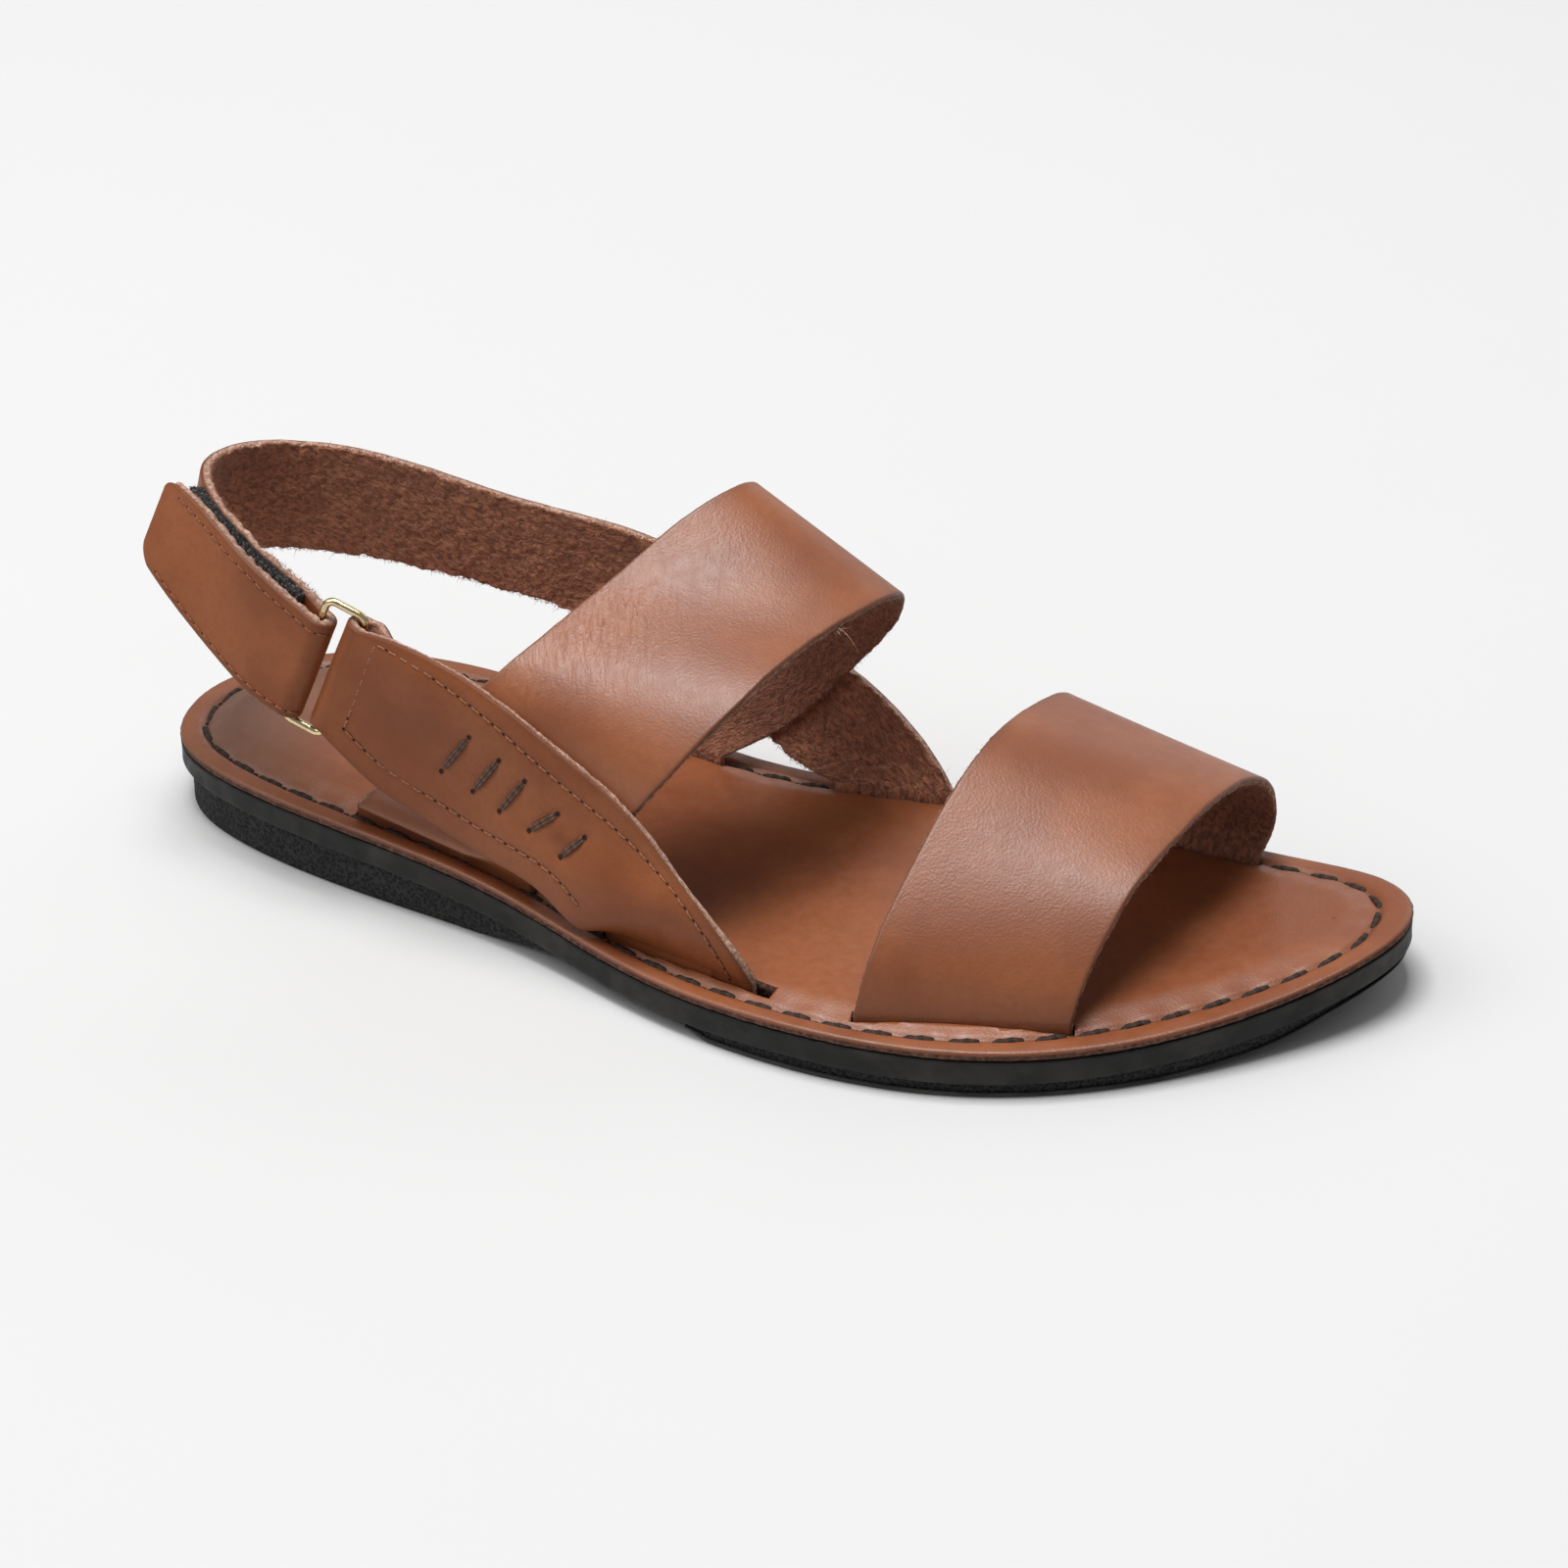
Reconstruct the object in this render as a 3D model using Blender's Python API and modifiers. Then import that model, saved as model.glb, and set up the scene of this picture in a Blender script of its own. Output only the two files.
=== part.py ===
"""Right-foot leather sandal: sewn insole on a rubber sole, toe strap, and rear straps that close with a wire ring.

The shapes are worked out in millimetres, heel at the back and toe along +X, inner side of the foot along +Y.
The model is scaled to metres and centred over the floor when its meshes are made.
"""

import math
from collections import namedtuple

import bpy
import numpy as np

# Sizes of the sole, millimetres
HEEL_END = 3.0
TOE_END = 262.4
MIDSOLE_BEVEL = 0.9
INSOLE_RIM = 1.9
INSOLE_PUFF = 1.3
STITCH_INSET = 4.9
GROOVE_DEPTH = 0.7
GROOVE_HALF = 0.9
LAYER_GAP = 0.3
WEDGE_INSET = 1.9
WEDGE_FLAT_END = 84.0
WEDGE_TIP = 109.0
WEDGE_TIP_WALL = 0.8
TREAD_START = 141.0
TREAD_RAMP = 6.0
TREAD_INSET = 1.5
TREAD_LIP_INSET = 0.7
TREAD_LIP = 0.9
TREAD_WALL = 3.4
TREAD_TAPER = 244.0
TREAD_TOE_WALL = 0.9

# Sizes of the straps, millimetres
STRAP_WALL = 1.8
WING_WALL = 2.2
JOIN_DEPTH = 0.5
SLOT_CLEARANCE = 0.6
HEEL_STRAP_WIDTH = 23.2
WING_END_WIDTH = 25.2
WIRE_RADIUS = 1.0
RING_REAR_BAR = (49.7, -32.3, 53.1)
RING_UP = (0.35, 0.114, 0.93)
RING_AHEAD = (1.0, 0.1, -0.3)
RING_BAR_SPACING = 8.8
RING_INSIDE = 27.0
RING_CORNER = 2.0
TAB_SHIFT = -1.5
WING_SHIFT = 0.5
FOLD_CLEARANCE = 0.35
RETURN_LENGTH = 9.0
BAR_REACH = 2.0
TAPE_WALL = 2.0

# Outline of the sole, a row for each station from heel to toe
Station = namedtuple("Station", "turn lateral medial")
OUTLINE = (
    Station(0, -0.5, -0.5),
    Station(15, -15.3, 14.0),
    Station(30, -24.9, 26.8),
    Station(45, -31.1, 33.3),
    Station(60, -35.0, 33.9),
    Station(75, -39.3, 33.3),
    Station(90, -48.9, 34.9),
    Station(105, -53.3, 41.0),
    Station(120, -48.3, 44.5),
    Station(135, -33.1, 43.8),
    Station(150, -12.4, 41.5),
    Station(165, 5.7, 32.6),
    Station(180, 20.0, 20.0),
)

# Height of the midsole's underside along the shoe, and the midsole's thickness
Level = namedtuple("Level", "along under thick")
PROFILE = (
    Level(0, 9.4, 4.7),
    Level(35, 9.7, 5.0),
    Level(80, 7.6, 5.3),
    Level(120, 2.9, 5.6),
    Level(160, 3.1, 5.4),
    Level(200, 2.9, 5.5),
    Level(232, 3.8, 5.3),
    Level(250, 6.3, 5.3),
    Level(262, 9.8, 5.0),
)

# Rear and front edge of a strap, a row for each section from the outer slot over the foot to the inner slot
Band = namedtuple("Band", "rear_x rear_y rear_z front_x front_y front_z")
TOE_STRAP = (
    Band(175.8, -46.0, 11.9, 214.8, -31.8, 12.2),
    Band(176.6, -43.0, 19.5, 215.5, -29.5, 17.5),
    Band(177.7, -36.0, 28.0, 217.1, -22.9, 25.0),
    Band(179.3, -23.2, 37.2, 219.2, -11.8, 32.4),
    Band(180.9, -8.8, 45.1, 221.4, 2.1, 35.5),
    Band(182.3, 6.3, 48.3, 223.2, 14.5, 36.9),
    Band(183.3, 22.6, 45.8, 225.0, 29.5, 34.6),
    Band(184.0, 35.4, 40.5, 225.8, 40.0, 27.6),
    Band(184.0, 41.5, 29.0, 225.7, 43.3, 20.0),
    Band(183.0, 41.6, 18.8, 225.2, 42.0, 15.4),
    Band(182.2, 37.8, 11.9, 224.4, 37.8, 12.4),
)
INSTEP_STRAP = (
    Band(57.0, -27.6, 18.9, 100.0, -34.0, 14.6),
    Band(63.1, -30.5, 25.2, 109.0, -38.0, 22.5),
    Band(77.5, -33.0, 42.0, 121.0, -38.9, 34.0),
    Band(91.3, -33.5, 57.8, 133.0, -35.5, 49.3),
    Band(99.0, -22.0, 65.0, 141.5, -22.0, 60.0),
    Band(106.8, -3.5, 72.0, 146.2, -4.5, 63.8),
    Band(114.6, 11.0, 79.2, 151.2, 11.0, 65.1),
    Band(119.8, 24.0, 79.8, 152.9, 23.0, 62.6),
    Band(113.5, 32.2, 66.5, 148.6, 31.4, 52.4),
    Band(95.0, 33.0, 43.5, 136.8, 33.8, 36.5),
    Band(77.0, 29.2, 25.0, 119.5, 30.6, 18.4),
    Band(70.0, 26.2, 18.3, 110.8, 27.2, 13.3),
)

# Wings on the instep strap's surface: r along the foot, t round it, out all over and lift at the low edge, mm
Wing = namedtuple("Wing", "low_r low_t top_r top_t out lift")
OUTER_WING = (
    Wing(-0.01, 0.083, -0.36, 0.263, 0.9, 1.0),
    Wing(0.27, 0.061, -0.05, 0.256, 0.3, 0.3),
    Wing(0.58, 0.040, 0.32, 0.239, 0.0, 0.3),
    Wing(0.81, 0.035, 0.70, 0.219, 0.0, 1.0),
    Wing(1.00, 0.031, 1.02, 0.197, 0.0, 2.0),
    Wing(1.19, 0.016, 1.32, 0.159, 0.0, 3.2),
    Wing(1.32, 0.008, 1.56, 0.118, 0.0, 3.5),
    Wing(1.37, 0.006, 1.86, 0.062, 0.0, 1.8),
    Wing(1.43, 0.002, 2.17, 0.015, 0.0, 0.0),
)
INNER_WING = (
    Wing(-0.29, 0.875, -0.26, 0.758, 0.0, 0.0),
    Wing(0.14, 0.899, 0.16, 0.779, 0.0, 0.0),
    Wing(0.57, 0.924, 0.58, 0.800, 0.0, 0.0),
    Wing(1.00, 0.948, 1.00, 0.821, 0.0, 0.0),
    Wing(1.30, 0.973, 1.37, 0.860, 0.0, 0.0),
    Wing(1.44, 0.977, 1.72, 0.908, 0.0, 0.0),
    Wing(1.52, 0.982, 1.93, 0.939, 0.0, 0.0),
)

# Low and top edge of the heel strap and of its turned-back tab, a row for each section
Edge = namedtuple("Edge", "low_x low_y low_z top_x top_y top_z")
HEEL_STRAP = (
    Edge(66.0, 32.3, 37.6, 78.5, 33.6, 58.0),
    Edge(57.0, 31.8, 38.7, 61.5, 31.3, 60.4),
    Edge(41.5, 29.0, 41.0, 44.5, 28.7, 64.0),
    Edge(28.0, 24.5, 43.3, 30.5, 25.0, 67.3),
    Edge(18.6, 19.0, 45.2, 21.4, 20.5, 69.2),
    Edge(11.3, 11.5, 47.6, 14.5, 12.5, 71.8),
    Edge(7.0, 2.0, 50.0, 11.7, 2.0, 74.2),
    Edge(9.2, -8.5, 51.3, 14.3, -7.0, 75.4),
    Edge(15.8, -17.8, 50.2, 21.5, -14.3, 74.4),
    Edge(26.5, -24.8, 46.8, 33.0, -20.8, 70.9),
    Edge(37.3, -29.0, 43.0, 44.0, -25.5, 66.8),
)
TAB = (
    Edge(36.5, -33.5, 43.2, 42.0, -30.4, 67.0),
    Edge(24.5, -29.4, 49.3, 31.1, -26.2, 71.2),
    Edge(14.5, -25.6, 55.3, 21.5, -22.0, 75.4),
    Edge(6.5, -21.5, 60.0, 12.8, -18.0, 77.3),
)

# Faces along and across each strap
STRAP_STEPS = 38
STRAP_LANES = 7
SOLE_STEPS = 46


def spline(knots, values, at):
    """Natural cubic spline through values at knots, read at the given places."""
    knots = np.asarray(knots, float)
    values = np.asarray(values, float).reshape(len(knots), -1)
    step = np.diff(knots)
    count = len(knots)
    system = np.eye(count)
    right = np.zeros_like(values)
    for i in range(1, count - 1):
        system[i, i - 1 : i + 2] = step[i - 1], 2 * (step[i - 1] + step[i]), step[i]
        slope = np.diff(values[i - 1 : i + 2], axis=0) / step[i - 1 : i + 1, None]
        right[i] = 6 * (slope[1] - slope[0])
    bend = np.linalg.solve(system, right)
    at = np.asarray(at, float)
    i = np.clip(np.searchsorted(knots, at) - 1, 0, count - 2)
    left = (at - knots[i])[..., None]
    rest = (knots[i + 1] - at)[..., None]
    span = step[i][..., None]
    curve = (bend[i] * rest**3 + bend[i + 1] * left**3) / (6 * span)
    curve += (values[i] / span - bend[i] * span / 6) * rest
    return curve + (values[i + 1] / span - bend[i + 1] * span / 6) * left


def along_of(turn):
    """Distance from the heel of an outline station given as a turn of 0 to 180 degrees."""
    return HEEL_END + (TOE_END - HEEL_END) * (1 - np.cos(np.radians(turn))) / 2


def outline(turn):
    """Outer and inner edge of the sole, two (n, 2) arrays."""
    turn = np.asarray(turn, float)
    sides = spline([s.turn for s in OUTLINE], [(s.lateral, s.medial) for s in OUTLINE], turn)
    x = along_of(turn)
    return np.c_[x, sides[:, 0]], np.c_[x, sides[:, 1]]


def underside(x):
    """Height of the midsole's underside."""
    return spline([p.along for p in PROFILE], [p.under for p in PROFILE], np.asarray(x, float))[..., 0]


def midsole_top(x):
    """Height of the midsole's upper face."""
    thick = spline([p.along for p in PROFILE], [p.thick for p in PROFILE], np.asarray(x, float))[..., 0]
    return underside(x) + thick


def insole_top(x):
    """Height of the insole's rim."""
    return midsole_top(x) + LAYER_GAP + INSOLE_RIM


def band_edges(rows, t):
    """Rear and front edge points of a strap at t from 0 (outer slot) to 1 (inner slot)."""
    rear = np.array([(r.rear_x, r.rear_y, r.rear_z) for r in rows])
    front = np.array([(r.front_x, r.front_y, r.front_z) for r in rows])
    middle = (rear + front) / 2
    reach = np.r_[0, np.cumsum(np.linalg.norm(np.diff(middle, axis=0), axis=1))]
    reach /= reach[-1]
    return spline(reach, rear, t), spline(reach, front, t)


def band_at(rows, r, t):
    """Point of a strap's middle surface: r is 0 at the rear edge and 1 at the front edge, and may go beyond."""
    rear, front = band_edges(rows, np.asarray(t, float))
    return rear + np.asarray(r, float)[..., None] * (front - rear)


def band_normal(rows, r, t):
    """Outward unit normal of a strap's middle surface."""
    r = np.asarray(r, float)
    t = np.asarray(t, float)
    d = 1e-4
    along = band_at(rows, r, t + d) - band_at(rows, r, t - d)
    across = band_at(rows, r + d, t) - band_at(rows, r - d, t)
    n = np.cross(along, across)
    n /= np.linalg.norm(n, axis=-1, keepdims=True)
    return -n


def unit(v):
    """Vectors scaled to length one."""
    v = np.asarray(v, float)
    return v / np.linalg.norm(v, axis=-1, keepdims=True)


def resample(rows, count):
    """A grid of points drawn out along its rows by splines, with even steps."""
    rows = np.asarray(rows, float)
    middle = rows.mean(axis=1)
    reach = np.r_[0, np.cumsum(np.linalg.norm(np.diff(middle, axis=0), axis=1))]
    at = np.linspace(0, reach[-1], count)
    return spline(reach, rows.reshape(len(rows), -1), at).reshape(count, rows.shape[1], 3)


def tucked(row):
    """The row of a strap's end that stands in its slot, just over the midsole."""
    low = np.array(row, float)
    low[:, 2] = midsole_top(low[:, 0]) + LAYER_GAP
    return low


def band_sheet(rows, steps, lanes):
    """Middle surface of a strap that crosses the foot, with its ends in the slots."""
    t = np.repeat(np.linspace(0, 1, steps)[:, None], lanes, axis=1)
    r = np.repeat(np.linspace(0, 1, lanes)[None], steps, axis=0)
    grid = band_at(rows, r, t)
    return np.concatenate([tucked(grid[0])[None], grid, tucked(grid[-1])[None]])


def wing_rows(table, lanes):
    """Rows of a wing that lies on the outside of the instep strap and is joined to it where they cross."""
    v = np.linspace(0, 1, lanes)
    stand = (STRAP_WALL + WING_WALL) / 2 - JOIN_DEPTH
    rows = []
    for w in table:
        r = w.low_r + (w.top_r - w.low_r) * v
        t = w.low_t + (w.top_t - w.low_t) * v
        away = stand + w.out + w.lift * (1 - v) ** 1.5
        rows.append(band_at(INSTEP_STRAP, r, t) + away[:, None] * band_normal(INSTEP_STRAP, r, t))
    return rows


def edge_rows(table, lanes):
    """Straight rows between the low and top edges of a table."""
    v = np.linspace(0, 1, lanes)[:, None]
    low = np.array([(e.low_x, e.low_y, e.low_z) for e in table])
    top = np.array([(e.top_x, e.top_y, e.top_z) for e in table])
    return [a + (b - a) * v for a, b in zip(low, top)]


def ring_frame():
    """Middle of the rear bar, and unit vectors up the bar, ahead to the front bar and out of the shoe."""
    up = unit(RING_UP)
    ahead = np.array(RING_AHEAD)
    ahead = unit(ahead - up * (ahead @ up))
    return np.array(RING_REAR_BAR), up, ahead, np.cross(ahead, up)


def fold_rows(centre, width, radius, start, towards, lanes, angles):
    """Rows of a strap that turns round a bar of the ring, from the start side over the towards side."""
    _, up, _, _ = ring_frame()
    line = centre + np.linspace(-width / 2, width / 2, lanes)[:, None] * up
    rows = []
    for a in np.radians(angles):
        rows.append(line + radius * (math.cos(a) * start + math.sin(a) * towards))
    return rows


def heel_strap_sheet():
    """Middle surface of the inner wing, the heel strap and the tab, in one run round the ring's rear bar."""
    bar, up, ahead, out = ring_frame()
    radius = WIRE_RADIUS + FOLD_CLEARANCE + STRAP_WALL / 2
    wing = wing_rows(INNER_WING, STRAP_LANES)[::-1]
    heel = edge_rows(HEEL_STRAP, STRAP_LANES)
    angles = (0, 30, 60, 90, 120, 150, 180)
    turn = fold_rows(bar + up * TAB_SHIFT, HEEL_STRAP_WIDTH, radius, -out, ahead, STRAP_LANES, angles)
    tab = edge_rows(TAB, STRAP_LANES)
    inner = resample(wing + heel + turn[:1], 60)
    inner = np.concatenate([tucked(inner[0])[None], inner])
    outer = resample(turn[-1:] + tab, 16)
    return np.concatenate([inner, np.array(turn[1:-1]), outer]), inner, outer


def outer_wing_sheet():
    """Middle surface of the outer wing, its end turned round the ring's front bar and back on the inside."""
    bar, up, ahead, out = ring_frame()
    bar = bar + ahead * RING_BAR_SPACING + up * WING_SHIFT
    radius = WIRE_RADIUS + FOLD_CLEARANCE + WING_WALL / 2
    angles = (180, 150, 120, 90, 60, 30, 0)
    turn = fold_rows(bar, WING_END_WIDTH, radius, out, -ahead, STRAP_LANES, angles)
    wing = wing_rows(OUTER_WING, STRAP_LANES)
    run = resample(turn[-1:] + wing, STRAP_STEPS)
    step = np.linalg.norm((run[1] - run[0])[STRAP_LANES // 2])
    closed = WING_WALL + FOLD_CLEARANCE
    back = []
    for i in range(int(RETURN_LENGTH // step), 0, -1):
        open_share = 1 - ease((i * step - BAR_REACH) / (RETURN_LENGTH - BAR_REACH))
        back.append(run[i] - out * (closed + (2 * radius - closed) * open_share))
    return np.concatenate([np.array(back + turn[:-1]), run, tucked(run[-1])[None]])


def tape_sheet(inner, outer):
    """Middle surface of the hook-and-loop tape, half way between the heel strap and its tab."""
    tab = outer[2:]
    flat = inner.reshape(-1, 3)
    nearest = np.array([flat[np.argmin(np.linalg.norm(flat - p, axis=1))] for p in tab.reshape(-1, 3)])
    return (tab + nearest.reshape(tab.shape)) / 2


def sole_loop(inset, first=2.0, last=178.0, steps=SOLE_STEPS):
    """The outline moved inwards: its outer side from heel to toe, then its inner side back."""
    lateral, medial = outline(np.linspace(first, last, steps))
    ahead = unit(np.gradient(lateral, axis=0))
    lateral = lateral + inset * np.c_[-ahead[:, 1], ahead[:, 0]]
    ahead = unit(np.gradient(medial, axis=0))
    medial = medial + inset * np.c_[ahead[:, 1], -ahead[:, 0]]
    return np.concatenate([lateral, medial[::-1]])


def turn_at(x):
    """Turn of the outline station at a distance along the shoe."""
    return math.degrees(math.acos(1 - 2 * (x - HEEL_END) / (TOE_END - HEEL_END)))


def ease(x):
    """Smooth step from 0 to 1."""
    x = np.clip(x, 0, 1)
    return x * x * (3 - 2 * x)


def wedge_floor(x):
    """Underside of the heel wedge: flat on the floor, then rising to its thin tip."""
    tip = underside(WEDGE_TIP) - LAYER_GAP - WEDGE_TIP_WALL
    return tip * ease((x - WEDGE_FLAT_END) / (WEDGE_TIP - WEDGE_FLAT_END))


def tread_floor(x):
    """Underside of the forefoot tread: flat on the floor, rising at the toe and at its rear edge."""
    top = underside(x) - LAYER_GAP
    edge = (top - WEDGE_TIP_WALL) * (1 - ease((x - TREAD_START) / TREAD_RAMP))
    thinned = ease((x - TREAD_TAPER) / (TOE_END - TREAD_TAPER))
    wall = TREAD_WALL + (TREAD_TOE_WALL - TREAD_WALL) * thinned
    return np.maximum(np.maximum(top - wall, 0), edge)


def layer(loop, height):
    """A loop of plan points raised to a height."""
    return np.c_[loop, height]


def midsole_layers():
    """Loops of the smooth rubber midsole, from its underside up."""
    under = sole_loop(MIDSOLE_BEVEL)
    side = sole_loop(0.0)
    top = sole_loop(MIDSOLE_BEVEL / 2)
    return [
        layer(under, underside(under[:, 0])),
        layer(side, underside(side[:, 0]) + MIDSOLE_BEVEL),
        layer(side, midsole_top(side[:, 0]) - MIDSOLE_BEVEL / 2),
        layer(top, midsole_top(top[:, 0])),
    ]


# Upper face of the insole, a row for each loop inwards from the edge
Rise = namedtuple("Rise", "inset rise")
INSOLE_FACE = (
    Rise(0.0, -0.5),
    Rise(0.6, 0.0),
    Rise(STITCH_INSET - GROOVE_HALF, 0.0),
    Rise(STITCH_INSET, -GROOVE_DEPTH),
    Rise(STITCH_INSET + GROOVE_HALF, 0.1),
    Rise(8.0, INSOLE_PUFF * 0.7),
    Rise(12.0, INSOLE_PUFF),
    Rise(19.0, INSOLE_PUFF * 1.1),
)


def insole_layers():
    """Loops of the leather insole: rim, stitch groove and the padded middle."""
    under = sole_loop(0.4)
    side = sole_loop(0.0)
    loops = [
        layer(under, midsole_top(under[:, 0]) + LAYER_GAP),
        layer(side, midsole_top(side[:, 0]) + LAYER_GAP + 0.4),
    ]
    for row in INSOLE_FACE:
        plan = sole_loop(row.inset)
        loops.append(layer(plan, insole_top(plan[:, 0]) + row.rise))
    return loops


def wedge_layers():
    """Loops of the heel wedge."""
    last = turn_at(WEDGE_TIP)
    under = sole_loop(WEDGE_INSET + 0.7, 2.0, last, 26)
    side = sole_loop(WEDGE_INSET, 2.0, last, 26)
    low = wedge_floor(side[:, 0])
    top = underside(side[:, 0]) - LAYER_GAP
    return [
        layer(under, wedge_floor(under[:, 0])),
        layer(side, low + np.minimum(0.7, (top - low) * 0.4)),
        layer(side, top),
    ]


def tread_layers():
    """Loops of the forefoot tread, with the lip round its foot."""
    first = turn_at(TREAD_START)
    under = sole_loop(TREAD_LIP_INSET + 0.3, first, 178.0, 30)
    lip = sole_loop(TREAD_LIP_INSET, first, 178.0, 30)
    side = sole_loop(TREAD_INSET, first, 178.0, 30)
    low = tread_floor(lip[:, 0])
    wall = underside(lip[:, 0]) - LAYER_GAP - low
    step = np.minimum(TREAD_LIP, wall * 0.45)
    return [
        layer(under, tread_floor(under[:, 0])),
        layer(lip, low + step * 0.3),
        layer(lip, low + step),
        layer(side, low + step + 0.1),
        layer(side, underside(side[:, 0]) - LAYER_GAP),
    ]


def slot_prism(row, wall):
    """Corners of the slot that a strap's end stands in: a loop in plan round the end of the strap."""
    line = np.asarray(row, float)[:, :2]
    ahead = unit(np.gradient(line, axis=0))
    line[0] -= ahead[0] * SLOT_CLEARANCE
    line[-1] += ahead[-1] * SLOT_CLEARANCE
    aside = np.c_[-ahead[:, 1], ahead[:, 0]] * (wall / 2 + SLOT_CLEARANCE)
    loop = np.concatenate([line - aside, (line + aside)[::-1]])
    return [layer(loop, np.full(len(loop), z)) for z in (0.0, 40.0)]


def ring_points():
    """Middle line of the wire ring: a long loop with rounded corners."""
    bar, up, ahead, _ = ring_frame()
    centre = bar + ahead * RING_BAR_SPACING / 2
    half_up = RING_INSIDE / 2 + WIRE_RADIUS - RING_CORNER
    half_ahead = RING_BAR_SPACING / 2 - RING_CORNER
    points = []
    for corner, (a, u) in enumerate(((1, 1), (-1, 1), (-1, -1), (1, -1))):
        for turn in np.radians(np.linspace(0, 90, 6) + 90 * corner):
            across = a * half_ahead + RING_CORNER * math.cos(turn)
            along = u * half_up + RING_CORNER * math.sin(turn)
            points.append(centre + ahead * across + up * along)
    return np.array(points)


def to_world(points):
    """Metres, centred over the middle of the sole's outline."""
    side = sole_loop(0.0)
    middle = (side.min(axis=0) + side.max(axis=0)) / 2
    return (np.asarray(points, float) - (*middle, 0.0)) / 1000


def finish(name, red, green, blue, roughness, metallic=0.0):
    """A plain material for one object."""
    material = bpy.data.materials.new(name)
    material.use_nodes = True
    shader = material.node_tree.nodes["Principled BSDF"]
    shader.inputs["Base Color"].default_value = (red, green, blue, 1.0)
    shader.inputs["Roughness"].default_value = roughness
    shader.inputs["Metallic"].default_value = metallic
    return material


def add(name, points, faces, collection, material=None):
    """A mesh object in a collection."""
    mesh = bpy.data.meshes.new(name)
    mesh.from_pydata([tuple(p) for p in to_world(points)], [], faces)
    mesh.update()
    if material:
        mesh.materials.append(material)
    made = bpy.data.objects.new(name, mesh)
    collection.objects.link(made)
    return made


def loft(name, loops, collection, material=None):
    """A solid through loops of equal count, closed by strips between its outer and inner side."""
    count = len(loops[0])
    points = np.concatenate(loops)
    faces = []
    for i in range(len(loops) - 1):
        for j in range(count):
            k = (j + 1) % count
            faces.append((i * count + j, i * count + k, (i + 1) * count + k, (i + 1) * count + j))
    last = (len(loops) - 1) * count
    for j in range(count // 2 - 1):
        faces.append((count - 1 - j, count - 2 - j, j + 1, j))
        faces.append((last + j, last + j + 1, last + count - 2 - j, last + count - 1 - j))
    return add(name, points, faces, collection, material)


def strap(name, grid, wall, collection, material=None):
    """A strap: its middle surface thickened to the wall."""
    rows, lanes = grid.shape[:2]
    faces = []
    for i in range(rows - 1):
        for j in range(lanes - 1):
            a = i * lanes + j
            faces.append((a, a + 1, a + lanes + 1, a + lanes))
    made = add(name, grid.reshape(-1, 3), faces, collection, material)
    thick = made.modifiers.new("wall", "SOLIDIFY")
    thick.thickness = wall / 1000
    thick.offset = 0.0
    thick.use_even_offset = True
    thick.use_quality_normals = True
    return made


def combine(made, operation, other, name):
    """A Boolean of one object with a helper."""
    modifier = made.modifiers.new(name, "BOOLEAN")
    modifier.operation = operation
    modifier.object = other
    modifier.solver = "EXACT"


def ring(name, collection, material):
    """The wire ring, swept round its middle line."""
    curve = bpy.data.curves.new(name, "CURVE")
    curve.dimensions = "3D"
    curve.bevel_depth = WIRE_RADIUS / 1000
    curve.bevel_resolution = 2
    curve.materials.append(material)
    line = curve.splines.new("POLY")
    points = to_world(ring_points())
    line.points.add(len(points) - 1)
    for point, place in zip(line.points, points):
        point.co = (*place, 1.0)
    line.use_cyclic_u = True
    made = bpy.data.objects.new(name, curve)
    collection.objects.link(made)


def new_collection(name):
    """A collection of the scene."""
    made = bpy.data.collections.new(name)
    bpy.context.scene.collection.children.link(made)
    return made


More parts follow.
